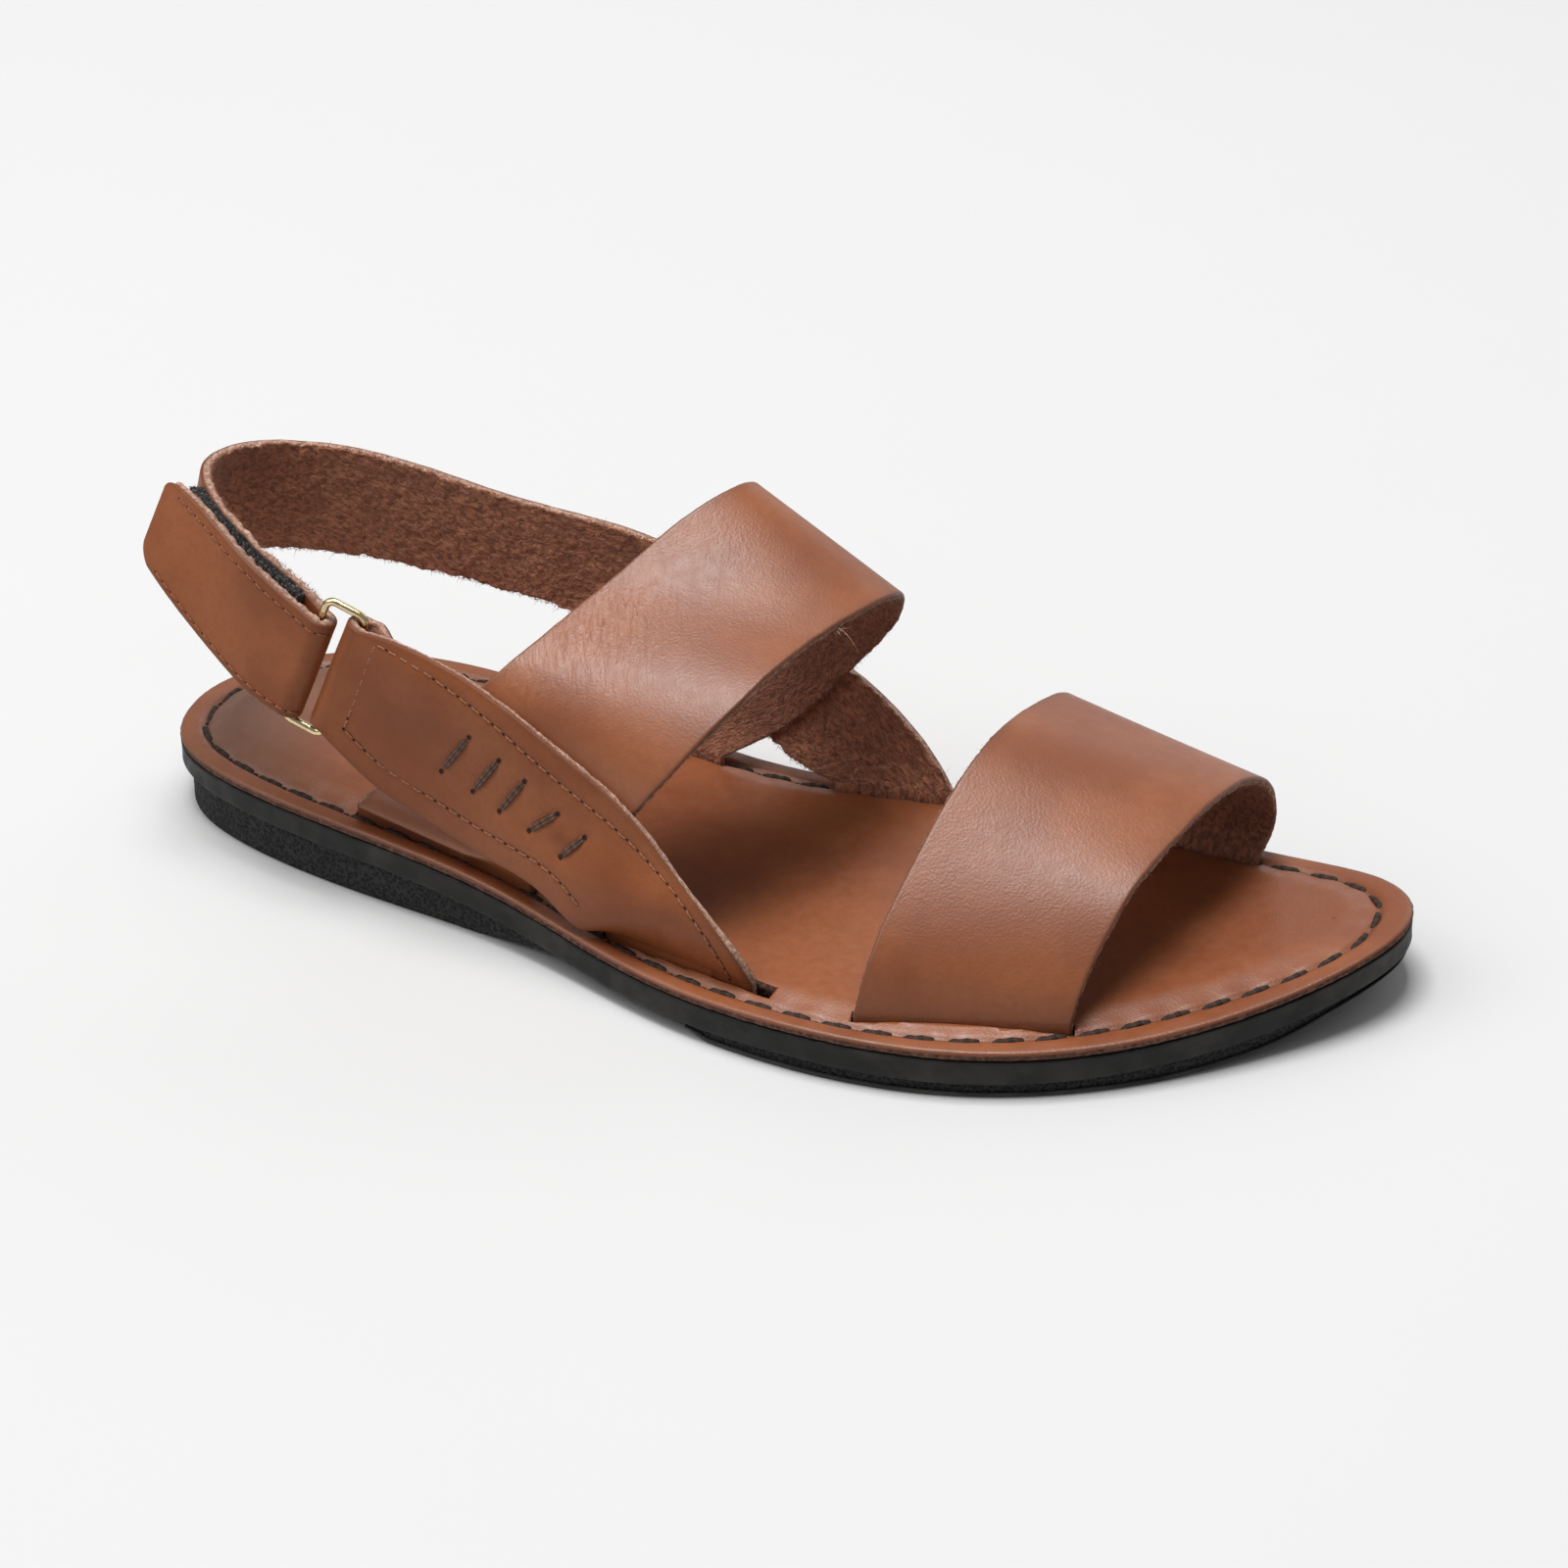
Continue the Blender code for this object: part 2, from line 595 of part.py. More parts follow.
def main():
    """Clears the scene and builds the sandal."""
    for old in list(bpy.data.objects):
        bpy.data.objects.remove(old, do_unlink=True)
    sandal = new_collection("leather_sandal")
    helpers = new_collection("cutters")

    rubber = finish("smooth_rubber", 0.02, 0.02, 0.022, 0.5)
    loft("midsole", midsole_layers(), sandal, rubber)
    loft("heel_wedge", wedge_layers(), sandal, finish("cellular_rubber", 0.035, 0.035, 0.037, 0.9))
    loft("forefoot_tread", tread_layers(), sandal, finish("tread_rubber", 0.025, 0.025, 0.027, 0.8))

    toe = band_sheet(TOE_STRAP, STRAP_STEPS, STRAP_LANES)
    instep = band_sheet(INSTEP_STRAP, STRAP_STEPS + 6, STRAP_LANES)
    wing = outer_wing_sheet()
    heel, heel_inside, tab = heel_strap_sheet()

    insole = loft("insole", insole_layers(), sandal, finish("insole_leather", 0.30, 0.12, 0.05, 0.55))
    ends = (
        ("toe_outer", toe[1], STRAP_WALL),
        ("toe_inner", toe[-2], STRAP_WALL),
        ("instep_outer", instep[1], STRAP_WALL),
        ("instep_inner", instep[-2], STRAP_WALL),
        ("wing_outer", wing[-2], WING_WALL),
        ("wing_inner", heel[1], STRAP_WALL),
    )
    for name, row, wall in ends:
        slot = loft("slot_" + name, slot_prism(row, wall), helpers)
        combine(insole, "DIFFERENCE", slot, name)

    strap("toe_strap", toe, STRAP_WALL, sandal, finish("toe_leather", 0.33, 0.13, 0.055, 0.42))
    upper = strap("rear_straps", instep, STRAP_WALL, sandal, finish("strap_leather", 0.33, 0.13, 0.055, 0.42))
    combine(upper, "UNION", strap("outer_wing", wing, WING_WALL, helpers), "outer_wing")
    combine(upper, "UNION", strap("heel_strap", heel, STRAP_WALL, helpers), "heel_strap")

    ring("ring", sandal, finish("brass_wire", 0.62, 0.48, 0.25, 0.28, 1.0))
    tape = tape_sheet(heel_inside, tab)
    strap("hook_tape", tape, TAPE_WALL, sandal, finish("woven_tape", 0.05, 0.03, 0.025, 0.95))

    for helper in helpers.objects:
        helper.hide_render = True
        helper.display_type = "WIRE"


if __name__ == "__main__":
    main()
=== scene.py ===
"""Looks of the right-foot leather sandal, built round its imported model.

Shapes are worked out in millimetres as in the part's source: heel at the back, toe along +X, inner
side of the foot along +Y, floor at Z 0. They are moved to the model's frame, in metres, when their
meshes are made.
"""

import logging
import math
from dataclasses import dataclass, field
from enum import Enum, IntEnum
from typing import Callable, NamedTuple, Optional, Sequence, Union

import bmesh
import bpy
import numpy as np
from mathutils import Matrix, Vector, noise


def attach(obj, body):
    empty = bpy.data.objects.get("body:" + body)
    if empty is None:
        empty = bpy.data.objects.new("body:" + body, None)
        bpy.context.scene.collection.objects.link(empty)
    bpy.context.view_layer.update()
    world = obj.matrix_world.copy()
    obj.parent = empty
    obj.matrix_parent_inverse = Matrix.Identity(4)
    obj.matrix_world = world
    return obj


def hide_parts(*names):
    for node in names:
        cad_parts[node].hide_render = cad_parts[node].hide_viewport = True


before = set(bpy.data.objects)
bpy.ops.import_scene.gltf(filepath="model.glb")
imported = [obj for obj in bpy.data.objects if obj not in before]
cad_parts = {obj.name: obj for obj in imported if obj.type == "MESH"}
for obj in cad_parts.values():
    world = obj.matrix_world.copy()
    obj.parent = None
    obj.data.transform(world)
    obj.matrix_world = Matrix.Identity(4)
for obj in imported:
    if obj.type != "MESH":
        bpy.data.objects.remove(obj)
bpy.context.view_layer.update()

log = logging.getLogger("sandal")

Array = np.ndarray
Object = bpy.types.Object
Material = bpy.types.Material
Socket = bpy.types.NodeSocket
Colour = tuple[float, float, float]
Amount = Union[float, Socket]

MILLIMETRE = 0.001


class Station(NamedTuple):
    """A station of the sole's outline: turn from heel (0) to toe (180 degrees), and its two sides."""

    turn: float
    lateral: float
    medial: float


class Level(NamedTuple):
    """Height of the midsole's underside at a distance along the shoe, and the midsole's thickness."""

    along: float
    under: float
    thick: float


class Rule(NamedTuple):
    """A straight section of a strap: a point of its rear or low edge and one of its front or top edge."""

    x: float
    y: float
    z: float
    far_x: float
    far_y: float
    far_z: float


class Wing(NamedTuple):
    """A section of a wing on the instep strap: r along the foot, t round it, and how far it stands off."""

    low_r: float
    low_t: float
    top_r: float
    top_t: float
    out: float = 0.0
    lift: float = 0.0


SEAM_INSET = (
    Station(0, 5.4, 5.4),
    Station(30, 5.1, 5.2),
    Station(60, 4.5, 4.9),
    Station(90, 4.5, 4.9),
    Station(120, 4.6, 4.8),
    Station(135, 5.8, 4.7),
    Station(150, 6.0, 4.9),
    Station(165, 5.9, 6.0),
    Station(180, 7.2, 7.2),
)
OUTLINE = (
    Station(0, -0.5, -0.5),
    Station(15, -15.3, 14.0),
    Station(30, -24.9, 26.8),
    Station(45, -31.1, 33.3),
    Station(60, -35.0, 33.9),
    Station(75, -39.3, 33.3),
    Station(90, -48.9, 34.9),
    Station(105, -53.3, 41.0),
    Station(120, -48.3, 44.5),
    Station(135, -33.1, 43.8),
    Station(150, -12.4, 41.5),
    Station(165, 5.7, 32.6),
    Station(180, 20.0, 20.0),
)
PROFILE = (
    Level(0, 9.4, 4.7),
    Level(35, 9.7, 5.0),
    Level(80, 7.6, 5.3),
    Level(120, 2.9, 5.6),
    Level(160, 3.1, 5.4),
    Level(200, 2.9, 5.5),
    Level(232, 3.8, 5.3),
    Level(250, 6.3, 5.3),
    Level(262, 9.8, 5.0),
)
TOE_STRAP = (
    Rule(175.8, -46.0, 11.9, 214.8, -31.8, 12.2),
    Rule(176.6, -43.0, 19.5, 215.5, -29.5, 17.5),
    Rule(177.7, -36.0, 28.0, 217.1, -22.9, 25.0),
    Rule(179.3, -23.2, 37.2, 219.2, -11.8, 32.4),
    Rule(180.9, -8.8, 45.1, 221.4, 2.1, 35.5),
    Rule(182.3, 6.3, 48.3, 223.2, 14.5, 36.9),
    Rule(183.3, 22.6, 45.8, 225.0, 29.5, 34.6),
    Rule(184.0, 35.4, 40.5, 225.8, 40.0, 27.6),
    Rule(184.0, 41.5, 29.0, 225.7, 43.3, 20.0),
    Rule(183.0, 41.6, 18.8, 225.2, 42.0, 15.4),
    Rule(182.2, 37.8, 11.9, 224.4, 37.8, 12.4),
)
INSTEP_STRAP = (
    Rule(57.0, -27.6, 18.9, 100.0, -34.0, 14.6),
    Rule(63.1, -30.5, 25.2, 109.0, -38.0, 22.5),
    Rule(77.5, -33.0, 42.0, 121.0, -38.9, 34.0),
    Rule(91.3, -33.5, 57.8, 133.0, -35.5, 49.3),
    Rule(99.0, -22.0, 65.0, 141.5, -22.0, 60.0),
    Rule(106.8, -3.5, 72.0, 146.2, -4.5, 63.8),
    Rule(114.6, 11.0, 79.2, 151.2, 11.0, 65.1),
    Rule(119.8, 24.0, 79.8, 152.9, 23.0, 62.6),
    Rule(113.5, 32.2, 66.5, 148.6, 31.4, 52.4),
    Rule(95.0, 33.0, 43.5, 136.8, 33.8, 36.5),
    Rule(77.0, 29.2, 25.0, 119.5, 30.6, 18.4),
    Rule(70.0, 26.2, 18.3, 110.8, 27.2, 13.3),
)
OUTER_WING = (
    Wing(-0.01, 0.083, -0.36, 0.263, 0.9, 1.0),
    Wing(0.27, 0.061, -0.05, 0.256, 0.3, 0.3),
    Wing(0.58, 0.040, 0.32, 0.239, 0.0, 0.3),
    Wing(0.81, 0.035, 0.70, 0.219, 0.0, 1.0),
    Wing(1.00, 0.031, 1.02, 0.197, 0.0, 2.0),
    Wing(1.19, 0.016, 1.32, 0.159, 0.0, 3.2),
    Wing(1.32, 0.008, 1.56, 0.118, 0.0, 3.5),
    Wing(1.37, 0.006, 1.86, 0.062, 0.0, 1.8),
    Wing(1.43, 0.002, 2.17, 0.015),
)
INNER_WING = (
    Wing(-0.29, 0.875, -0.26, 0.758),
    Wing(0.14, 0.899, 0.16, 0.779),
    Wing(0.57, 0.924, 0.58, 0.800),
    Wing(1.00, 0.948, 1.00, 0.821),
    Wing(1.30, 0.973, 1.37, 0.860),
    Wing(1.44, 0.977, 1.72, 0.908),
    Wing(1.52, 0.982, 1.93, 0.939),
)
HEEL_STRAP = (
    Rule(66.0, 32.3, 37.6, 78.5, 33.6, 58.0),
    Rule(57.0, 31.8, 38.7, 61.5, 31.3, 60.4),
    Rule(41.5, 29.0, 41.0, 44.5, 28.7, 64.0),
    Rule(28.0, 24.5, 43.3, 30.5, 25.0, 67.3),
    Rule(18.6, 19.0, 45.2, 21.4, 20.5, 69.2),
    Rule(11.3, 11.5, 47.6, 14.5, 12.5, 71.8),
    Rule(7.0, 2.0, 50.0, 11.7, 2.0, 74.2),
    Rule(9.2, -8.5, 51.3, 14.3, -7.0, 75.4),
    Rule(15.8, -17.8, 50.2, 21.5, -14.3, 74.4),
    Rule(26.5, -24.8, 46.8, 33.0, -20.8, 70.9),
    Rule(37.3, -29.0, 43.0, 44.0, -25.5, 66.8),
)
TAB = (
    Rule(36.5, -33.5, 43.2, 42.0, -30.4, 67.0),
    Rule(24.5, -29.4, 49.3, 31.1, -26.2, 71.2),
    Rule(14.5, -25.6, 55.3, 21.5, -22.0, 75.4),
    Rule(6.5, -21.5, 60.0, 12.8, -18.0, 77.3),
)


def spline(knots: Sequence[float], values: Sequence, at: Array) -> Array:
    """Natural cubic spline.

    Args:
        knots: rising places where the values are given.
        values: one value or row of values for each knot.
        at: places to read.

    Returns:
        An array of at's shape with one more axis for the row of values.
    """
    knots = np.asarray(knots, float)
    values = np.asarray(values, float).reshape(len(knots), -1)
    step = np.diff(knots)
    count = len(knots)
    system = np.eye(count)
    right = np.zeros_like(values)
    for i in range(1, count - 1):
        system[i, i - 1 : i + 2] = step[i - 1], 2 * (step[i - 1] + step[i]), step[i]
        slope = np.diff(values[i - 1 : i + 2], axis=0) / step[i - 1 : i + 1, None]
        right[i] = 6 * (slope[1] - slope[0])
    bend = np.linalg.solve(system, right)
    at = np.asarray(at, float)
    i = np.clip(np.searchsorted(knots, at) - 1, 0, count - 2)
    left = (at - knots[i])[..., None]
    rest = (knots[i + 1] - at)[..., None]
    span = step[i][..., None]
    curve = (bend[i] * rest**3 + bend[i + 1] * left**3) / (6 * span)
    curve += (values[i] / span - bend[i] * span / 6) * rest
    return curve + (values[i + 1] / span - bend[i + 1] * span / 6) * left


def sides_at(stations: Sequence[Station], turn: Array) -> Array:
    """The lateral and medial values of a table at turns from heel to toe, an (n, 2) array."""
    return spline([s.turn for s in stations], [(s.lateral, s.medial) for s in stations], turn)


def unit(v: Array) -> Array:
    """Vectors scaled to length one."""
    v = np.asarray(v, float)
    return v / np.maximum(np.linalg.norm(v, axis=-1, keepdims=True), 1e-12)


def ease(x: Array) -> Array:
    """Smooth step from 0 to 1."""
    x = np.clip(x, 0, 1)
    return x * x * (3 - 2 * x)


def bell(x: Array, half: float) -> Array:
    """Bell curve: 1 at 0, and about a third at half on either side."""
    return np.exp(-((x / half) ** 2))


def reach_of(line: Array) -> Array:
    """Distance along a line of points, from its first point."""
    return np.r_[0, np.cumsum(np.linalg.norm(np.diff(line, axis=0), axis=1))]


def read(line: Array, reach: Array, s: Array) -> Array:
    """Points or vectors of a line at distances along it."""
    return np.stack([np.interp(s, reach, column) for column in line.T], -1)


def resample(rows: Sequence[Array], count: int) -> Array:
    """Rows of points drawn out by splines into an even number of rows.

    Args:
        rows: arrays of equal shape (lanes, 3).
        count: how many rows to make.

    Returns:
        Array of shape (count, lanes, 3).
    """
    rows = np.asarray(rows, float)
    reach = reach_of(rows.mean(axis=1))
    at = np.linspace(0, reach[-1], count)
    return spline(reach, rows.reshape(len(rows), -1), at).reshape(count, rows.shape[1], 3)


def rough(points: Array, size: float, octaves: int = 3) -> Array:
    """Smooth noise at points.

    Args:
        points: array (..., 3) in millimetres.
        size: width of its features in millimetres.
        octaves: how many finer layers it has.

    Returns:
        Values of about -1 to 1, in the points' leading shape.
    """
    flat = np.asarray(points, float).reshape(-1, 3) / size
    found = [noise.fractal(Vector(p), 1.0, 2.0, octaves) for p in flat]
    return np.array(found).reshape(np.shape(points)[:-1])


@dataclass(frozen=True)
class SoleForm:
    """Outline and levels of the sole, millimetres."""

    heel_end: float = 3.0
    toe_end: float = 262.4
    rim: float = 1.9
    gap: float = 0.3
    first_turn: float = 0.8
    last_turn: float = 179.2

    def outline(self, turn: Array) -> tuple[Array, Array]:
        """Outer and inner edge at turns of 0 to 180 degrees, two (n, 2) arrays."""
        sides = sides_at(OUTLINE, turn)
        x = self.heel_end + (self.toe_end - self.heel_end) * (1 - np.cos(np.radians(turn))) / 2
        return np.c_[x, sides[:, 0]], np.c_[x, sides[:, 1]]

    def turn_at(self, x: float) -> float:
        """Turn of the outline's station at a distance along the shoe."""
        return math.degrees(math.acos(1 - 2 * (x - self.heel_end) / (self.toe_end - self.heel_end)))

    def underside(self, x: Array) -> Array:
        """Height of the midsole's underside."""
        return spline([p.along for p in PROFILE], [p.under for p in PROFILE], x)[..., 0]

    def band_top(self, x: Array) -> Array:
        """Height of the midsole's upper face."""
        thick = spline([p.along for p in PROFILE], [p.thick for p in PROFILE], x)[..., 0]
        return self.underside(x) + thick

    def seat(self, x: Array) -> Array:
        """Height that the rubber under the midsole reaches."""
        return self.underside(x) - self.gap

    def rim_top(self, x: Array) -> Array:
        """Height of the insole's rim."""
        return self.band_top(x) + self.gap + self.rim

    def loop(self, inset: Union[float, Array], steps: int, first: float = 0.0, last: float = 0.0) -> Array:
        """The outline moved inwards.

        Args:
            inset: how far, millimetres, for all points or for each.
            steps: points on each side.
            first: turn of its first station, or 0 for the heel's end.
            last: turn of its last station, or 0 for the toe's end.

        Returns:
            Plan points, the outer side from heel to toe and then the inner side back.
        """
        turn = np.linspace(first or self.first_turn, last or self.last_turn, steps)
        lateral, medial = self.outline(turn)
        ahead = unit(np.gradient(lateral, axis=0))
        inward = np.c_[-ahead[:, 1], ahead[:, 0]]
        ahead = unit(np.gradient(medial, axis=0))
        inward = np.concatenate([inward, np.c_[ahead[::-1, 1], -ahead[::-1, 0]]])
        moved = np.broadcast_to(inset, 2 * steps)[:, None] * inward
        return np.concatenate([lateral, medial[::-1]]) + moved

    def middle(self) -> Array:
        """Middle of the outline's box, which is the model's origin on the floor."""
        side = self.loop(0.0, 400)
        return np.r_[(side.min(axis=0) + side.max(axis=0)) / 2, 0.0]


SOLE = SoleForm()
ORIGIN = SOLE.middle()


def to_model(points: Array) -> Array:
    """Points in millimetres moved to the model's frame, metres."""
    return (np.asarray(points, float) - ORIGIN) * MILLIMETRE


@dataclass(frozen=True)
class LeatherBand:
    """A strap that crosses the foot, ruled between its rear and its front edge."""

    rows: tuple[Rule, ...]

    def at(self, r: Array, t: Array) -> Array:
        """Point of the middle surface: r runs from the rear edge to the front, t from the outer slot."""
        rear = np.array([row[:3] for row in self.rows])
        front = np.array([row[3:] for row in self.rows])
        reach = reach_of((rear + front) / 2)
        reach /= reach[-1]
        rear = spline(reach, rear, t)
        front = spline(reach, front, t)
        return rear + np.asarray(r, float)[..., None] * (front - rear)

    def normal(self, r: Array, t: Array) -> Array:
        """Outward unit normal of the middle surface."""
        d = 1e-4
        along = self.at(r, t + d) - self.at(r, t - d)
        across = self.at(r + d, t) - self.at(r - d, t)
        return unit(np.cross(across, along))


@dataclass(frozen=True)
class RingForm:
    """The wire ring and the leather folds round its two bars, millimetres."""

    rear_bar: tuple[float, float, float] = (49.7, -32.3, 53.1)
    up_line: tuple[float, float, float] = (0.35, 0.114, 0.93)
    ahead_line: tuple[float, float, float] = (1.0, 0.1, -0.3)
    bar_spacing: float = 8.8
    inside: float = 27.0
    corner: float = 2.0
    wire: float = 1.0
    clearance: float = 0.35
    tab_shift: float = -1.5
    wing_shift: float = 0.5

    def axes(self) -> tuple[Array, Array, Array, Array]:
        """Middle of the rear bar, and unit vectors up it, ahead to the front bar and out of the shoe."""
        up = unit(self.up_line)
        ahead = np.array(self.ahead_line)
        ahead = unit(ahead - up * (ahead @ up))
        return np.array(self.rear_bar), up, ahead, np.cross(ahead, up)

    def fold(
        self, forward: float, shift: float, width: float, wall: float, lanes: Array, angles: Array
    ) -> list[Array]:
        """Rows of a strap that turns round a bar.

        Args:
            forward: distance of the bar ahead of the rear bar.
            shift: how far the strap sits up the bar from its middle.
            width: the strap's width on the bar.
            wall: the strap's thickness.
            lanes: places across the strap, 0 to 1.
            angles: degrees round the bar, 0 inside the shoe, 90 ahead, 180 outside and 270 behind.

        Returns:
            One (lanes, 3) array for each angle.
        """
        bar, up, ahead, out = self.axes()
        line = bar + ahead * forward + (shift + (lanes - 0.5) * width)[:, None] * up
        radius = self.wire + self.clearance + wall / 2
        turn = np.radians(angles)
        return [line + radius * (-math.cos(a) * out + math.sin(a) * ahead) for a in turn]

    def line(self, corner_steps: int) -> Array:
        """Middle line of the wire: a long loop with rounded corners."""
        bar, up, ahead, _ = self.axes()
        centre = bar + ahead * self.bar_spacing / 2
        half_up = self.inside / 2 + self.wire - self.corner
        half_ahead = self.bar_spacing / 2 - self.corner
        points = []
        for corner, (a, u) in enumerate(((1, 1), (-1, 1), (-1, -1), (1, -1))):
            for turn in np.radians(np.linspace(0, 90, corner_steps) + 90 * corner):
                across = a * half_ahead + self.corner * math.cos(turn)
                along = u * half_up + self.corner * math.sin(turn)
                points.append(centre + ahead * across + up * along)
        return np.array(points)


RING = RingForm()
FOLD_STEPS = 13
INSTEP = LeatherBand(INSTEP_STRAP)


@dataclass
class MeshDraft:
    """Points, faces and face marks gathered for one mesh, in millimetres."""

    points: list[Array] = field(default_factory=list)
    faces: list[Array] = field(default_factory=list)
    marks: list[Array] = field(default_factory=list)
    corners: list[Array] = field(default_factory=list)
    values: dict[str, list[Array]] = field(default_factory=dict)
    count: int = 0

    def add(self, points: Array, **values: Array) -> Array:
        """Adds points with their named values.

        Args:
            points: array (..., 3).
            values: a number for each point, by name.

        Returns:
            The points' numbers, in the array's leading shape.
        """
        shape = np.shape(points)[:-1]
        size = int(np.prod(shape))
        for name in set(values) | set(self.values):
            kept = self.values.setdefault(name, [np.zeros(self.count)])
            kept.append(np.broadcast_to(values.get(name, 0.0), shape).reshape(-1))
        self.points.append(np.reshape(points, (-1, 3)))
        self.count += size
        return np.arange(self.count - size, self.count).reshape(shape)

    def sheet(
        self, index: Array, mark: Union[int, Array] = 0, wrap: bool = False, uv: Optional[Array] = None
    ) -> None:
        """Adds the quads of a grid of point numbers.

        Args:
            index: grid of point numbers.
            mark: material number of the faces, one for all or one for each column of faces.
            wrap: whether the last column joins the first.
            uv: flat coordinates of the grid's points, with one more column where it wraps.
        """
        if wrap:
            index = np.concatenate([index, index[:, :1]], axis=1)
        quads = np.stack([index[:-1, :-1], index[:-1, 1:], index[1:, 1:], index[1:, :-1]], -1)
        self.faces.extend(quads.reshape(-1, 4).tolist())
        self.marks.append(np.broadcast_to(mark, quads.shape[:2]).reshape(-1))
        if uv is None:
            uv = np.zeros((*index.shape, 2))
        flat = np.stack([uv[:-1, :-1], uv[:-1, 1:], uv[1:, 1:], uv[1:, :-1]], -2)
        self.corners.append(flat.reshape(-1, 2))

    def face(self, index: Sequence[int], mark: int = 0) -> None:
        """Adds one face by its point numbers."""
        self.faces.append([int(i) for i in index])
        self.marks.append(np.array([mark]))
        self.corners.append(np.zeros((len(index), 2)))

    def tube(
        self, line: Array, radius: Array, aside: Array, up: Array, sides: int, closed: bool = False
    ) -> None:
        """Adds a tube along a line.

        Args:
            line: (n, 3) middle points.
            radius: (n, 2) half width and half height.
            aside: (n, 3) unit vectors of its width.
            up: (n, 3) unit vectors of its height.
            sides: faces round it.
            closed: whether its end joins its start.
        """
        turn = np.linspace(0, 2 * math.pi, sides, endpoint=False)
        ring = line[:, None] + radius[:, :1, None] * np.cos(turn)[None, :, None] * aside[:, None]
        ring = ring + radius[:, 1:, None] * np.sin(turn)[None, :, None] * up[:, None]
        index = self.add(ring)
        if closed:
            index = np.concatenate([index, index[:1]])
        along = reach_of(line) if not closed else reach_of(np.r_[line, line[:1]])
        round_it = np.arange(sides + 1) / sides * math.pi * radius.mean()
        uv = np.stack(np.meshgrid(along, round_it, indexing="ij"), -1) * MILLIMETRE
        self.sheet(index, wrap=True, uv=uv)
        if not closed:
            self.face(index[0][::-1])
            self.face(index[-1])

    def make(self, name: str, finishes: Sequence[Material], sharp: float = 48.0) -> Object:
        """Makes the mesh object.

        Args:
            name: the object's name.
            finishes: materials, in the order of the faces' marks.
            sharp: edges sharper than this many degrees stay sharp.

        Returns:
            The object, linked to the scene, with smooth faces that point outwards.
        """
        mesh = bpy.data.meshes.new(name)
        mesh.from_pydata(to_model(np.concatenate(self.points)).tolist(), [], self.faces)
        for finish in finishes:
            mesh.materials.append(finish)
        mesh.polygons.foreach_set("material_index", np.concatenate(self.marks).astype(np.int32))
        flat = mesh.uv_layers.new(name="flat")
        flat.data.foreach_set("uv", np.concatenate(self.corners).astype(np.float32).ravel())
        for title, kept in self.values.items():
            held = mesh.attributes.new(title, "FLOAT", "POINT")
            held.data.foreach_set("value", np.concatenate(kept).astype(np.float32))
        work = bmesh.new()
        work.from_mesh(mesh)
        bmesh.ops.recalc_face_normals(work, faces=work.faces)
        work.to_mesh(mesh)
        work.free()
        mesh.shade_smooth()
        mesh.set_sharp_from_angle(angle=math.radians(sharp))
        made = bpy.data.objects.new(name, mesh)
        bpy.context.scene.collection.objects.link(made)
        return made


def loft(loops: Sequence[Array], marks: Sequence[int], crown: Callable[[Array], Array]) -> MeshDraft:
    """A solid through loops of the sole, closed below and above.

    Args:
        loops: (2 n, 3) arrays from the underside up.
        marks: material number of each wall between two loops.
        crown: height of the top's inner points, from the points on straight lines across it.

    Returns:
        The solid.
    """
    columns = 24
    draft = MeshDraft()
    index = draft.add(np.array(loops))
    for i, mark in enumerate(marks):
        draft.sheet(index[i : i + 2], mark, wrap=True)
    half = len(loops[0]) // 2
    for ring, loop, mark in ((index[0], loops[0], marks[0]), (index[-1], loops[-1], marks[-1])):
        lateral = loop[1 : half - 1]
        medial = loop[-2:half:-1]
        share = np.linspace(0, 1, columns)[None, 1:-1, None]
        inner = lateral[:, None] + (medial - lateral)[:, None] * share
        if loop is loops[-1]:
            inner[..., 2] = crown(inner)
        between_edges = draft.add(inner)
        grid = np.concatenate([ring[1 : half - 1, None], between_edges, ring[-2:half:-1, None]], axis=1)
        draft.sheet(grid, mark)
        draft.face([ring[0], *grid[0], ring[-1]], mark)
        draft.face([ring[half - 1], *grid[-1], ring[half]], mark)
    return draft


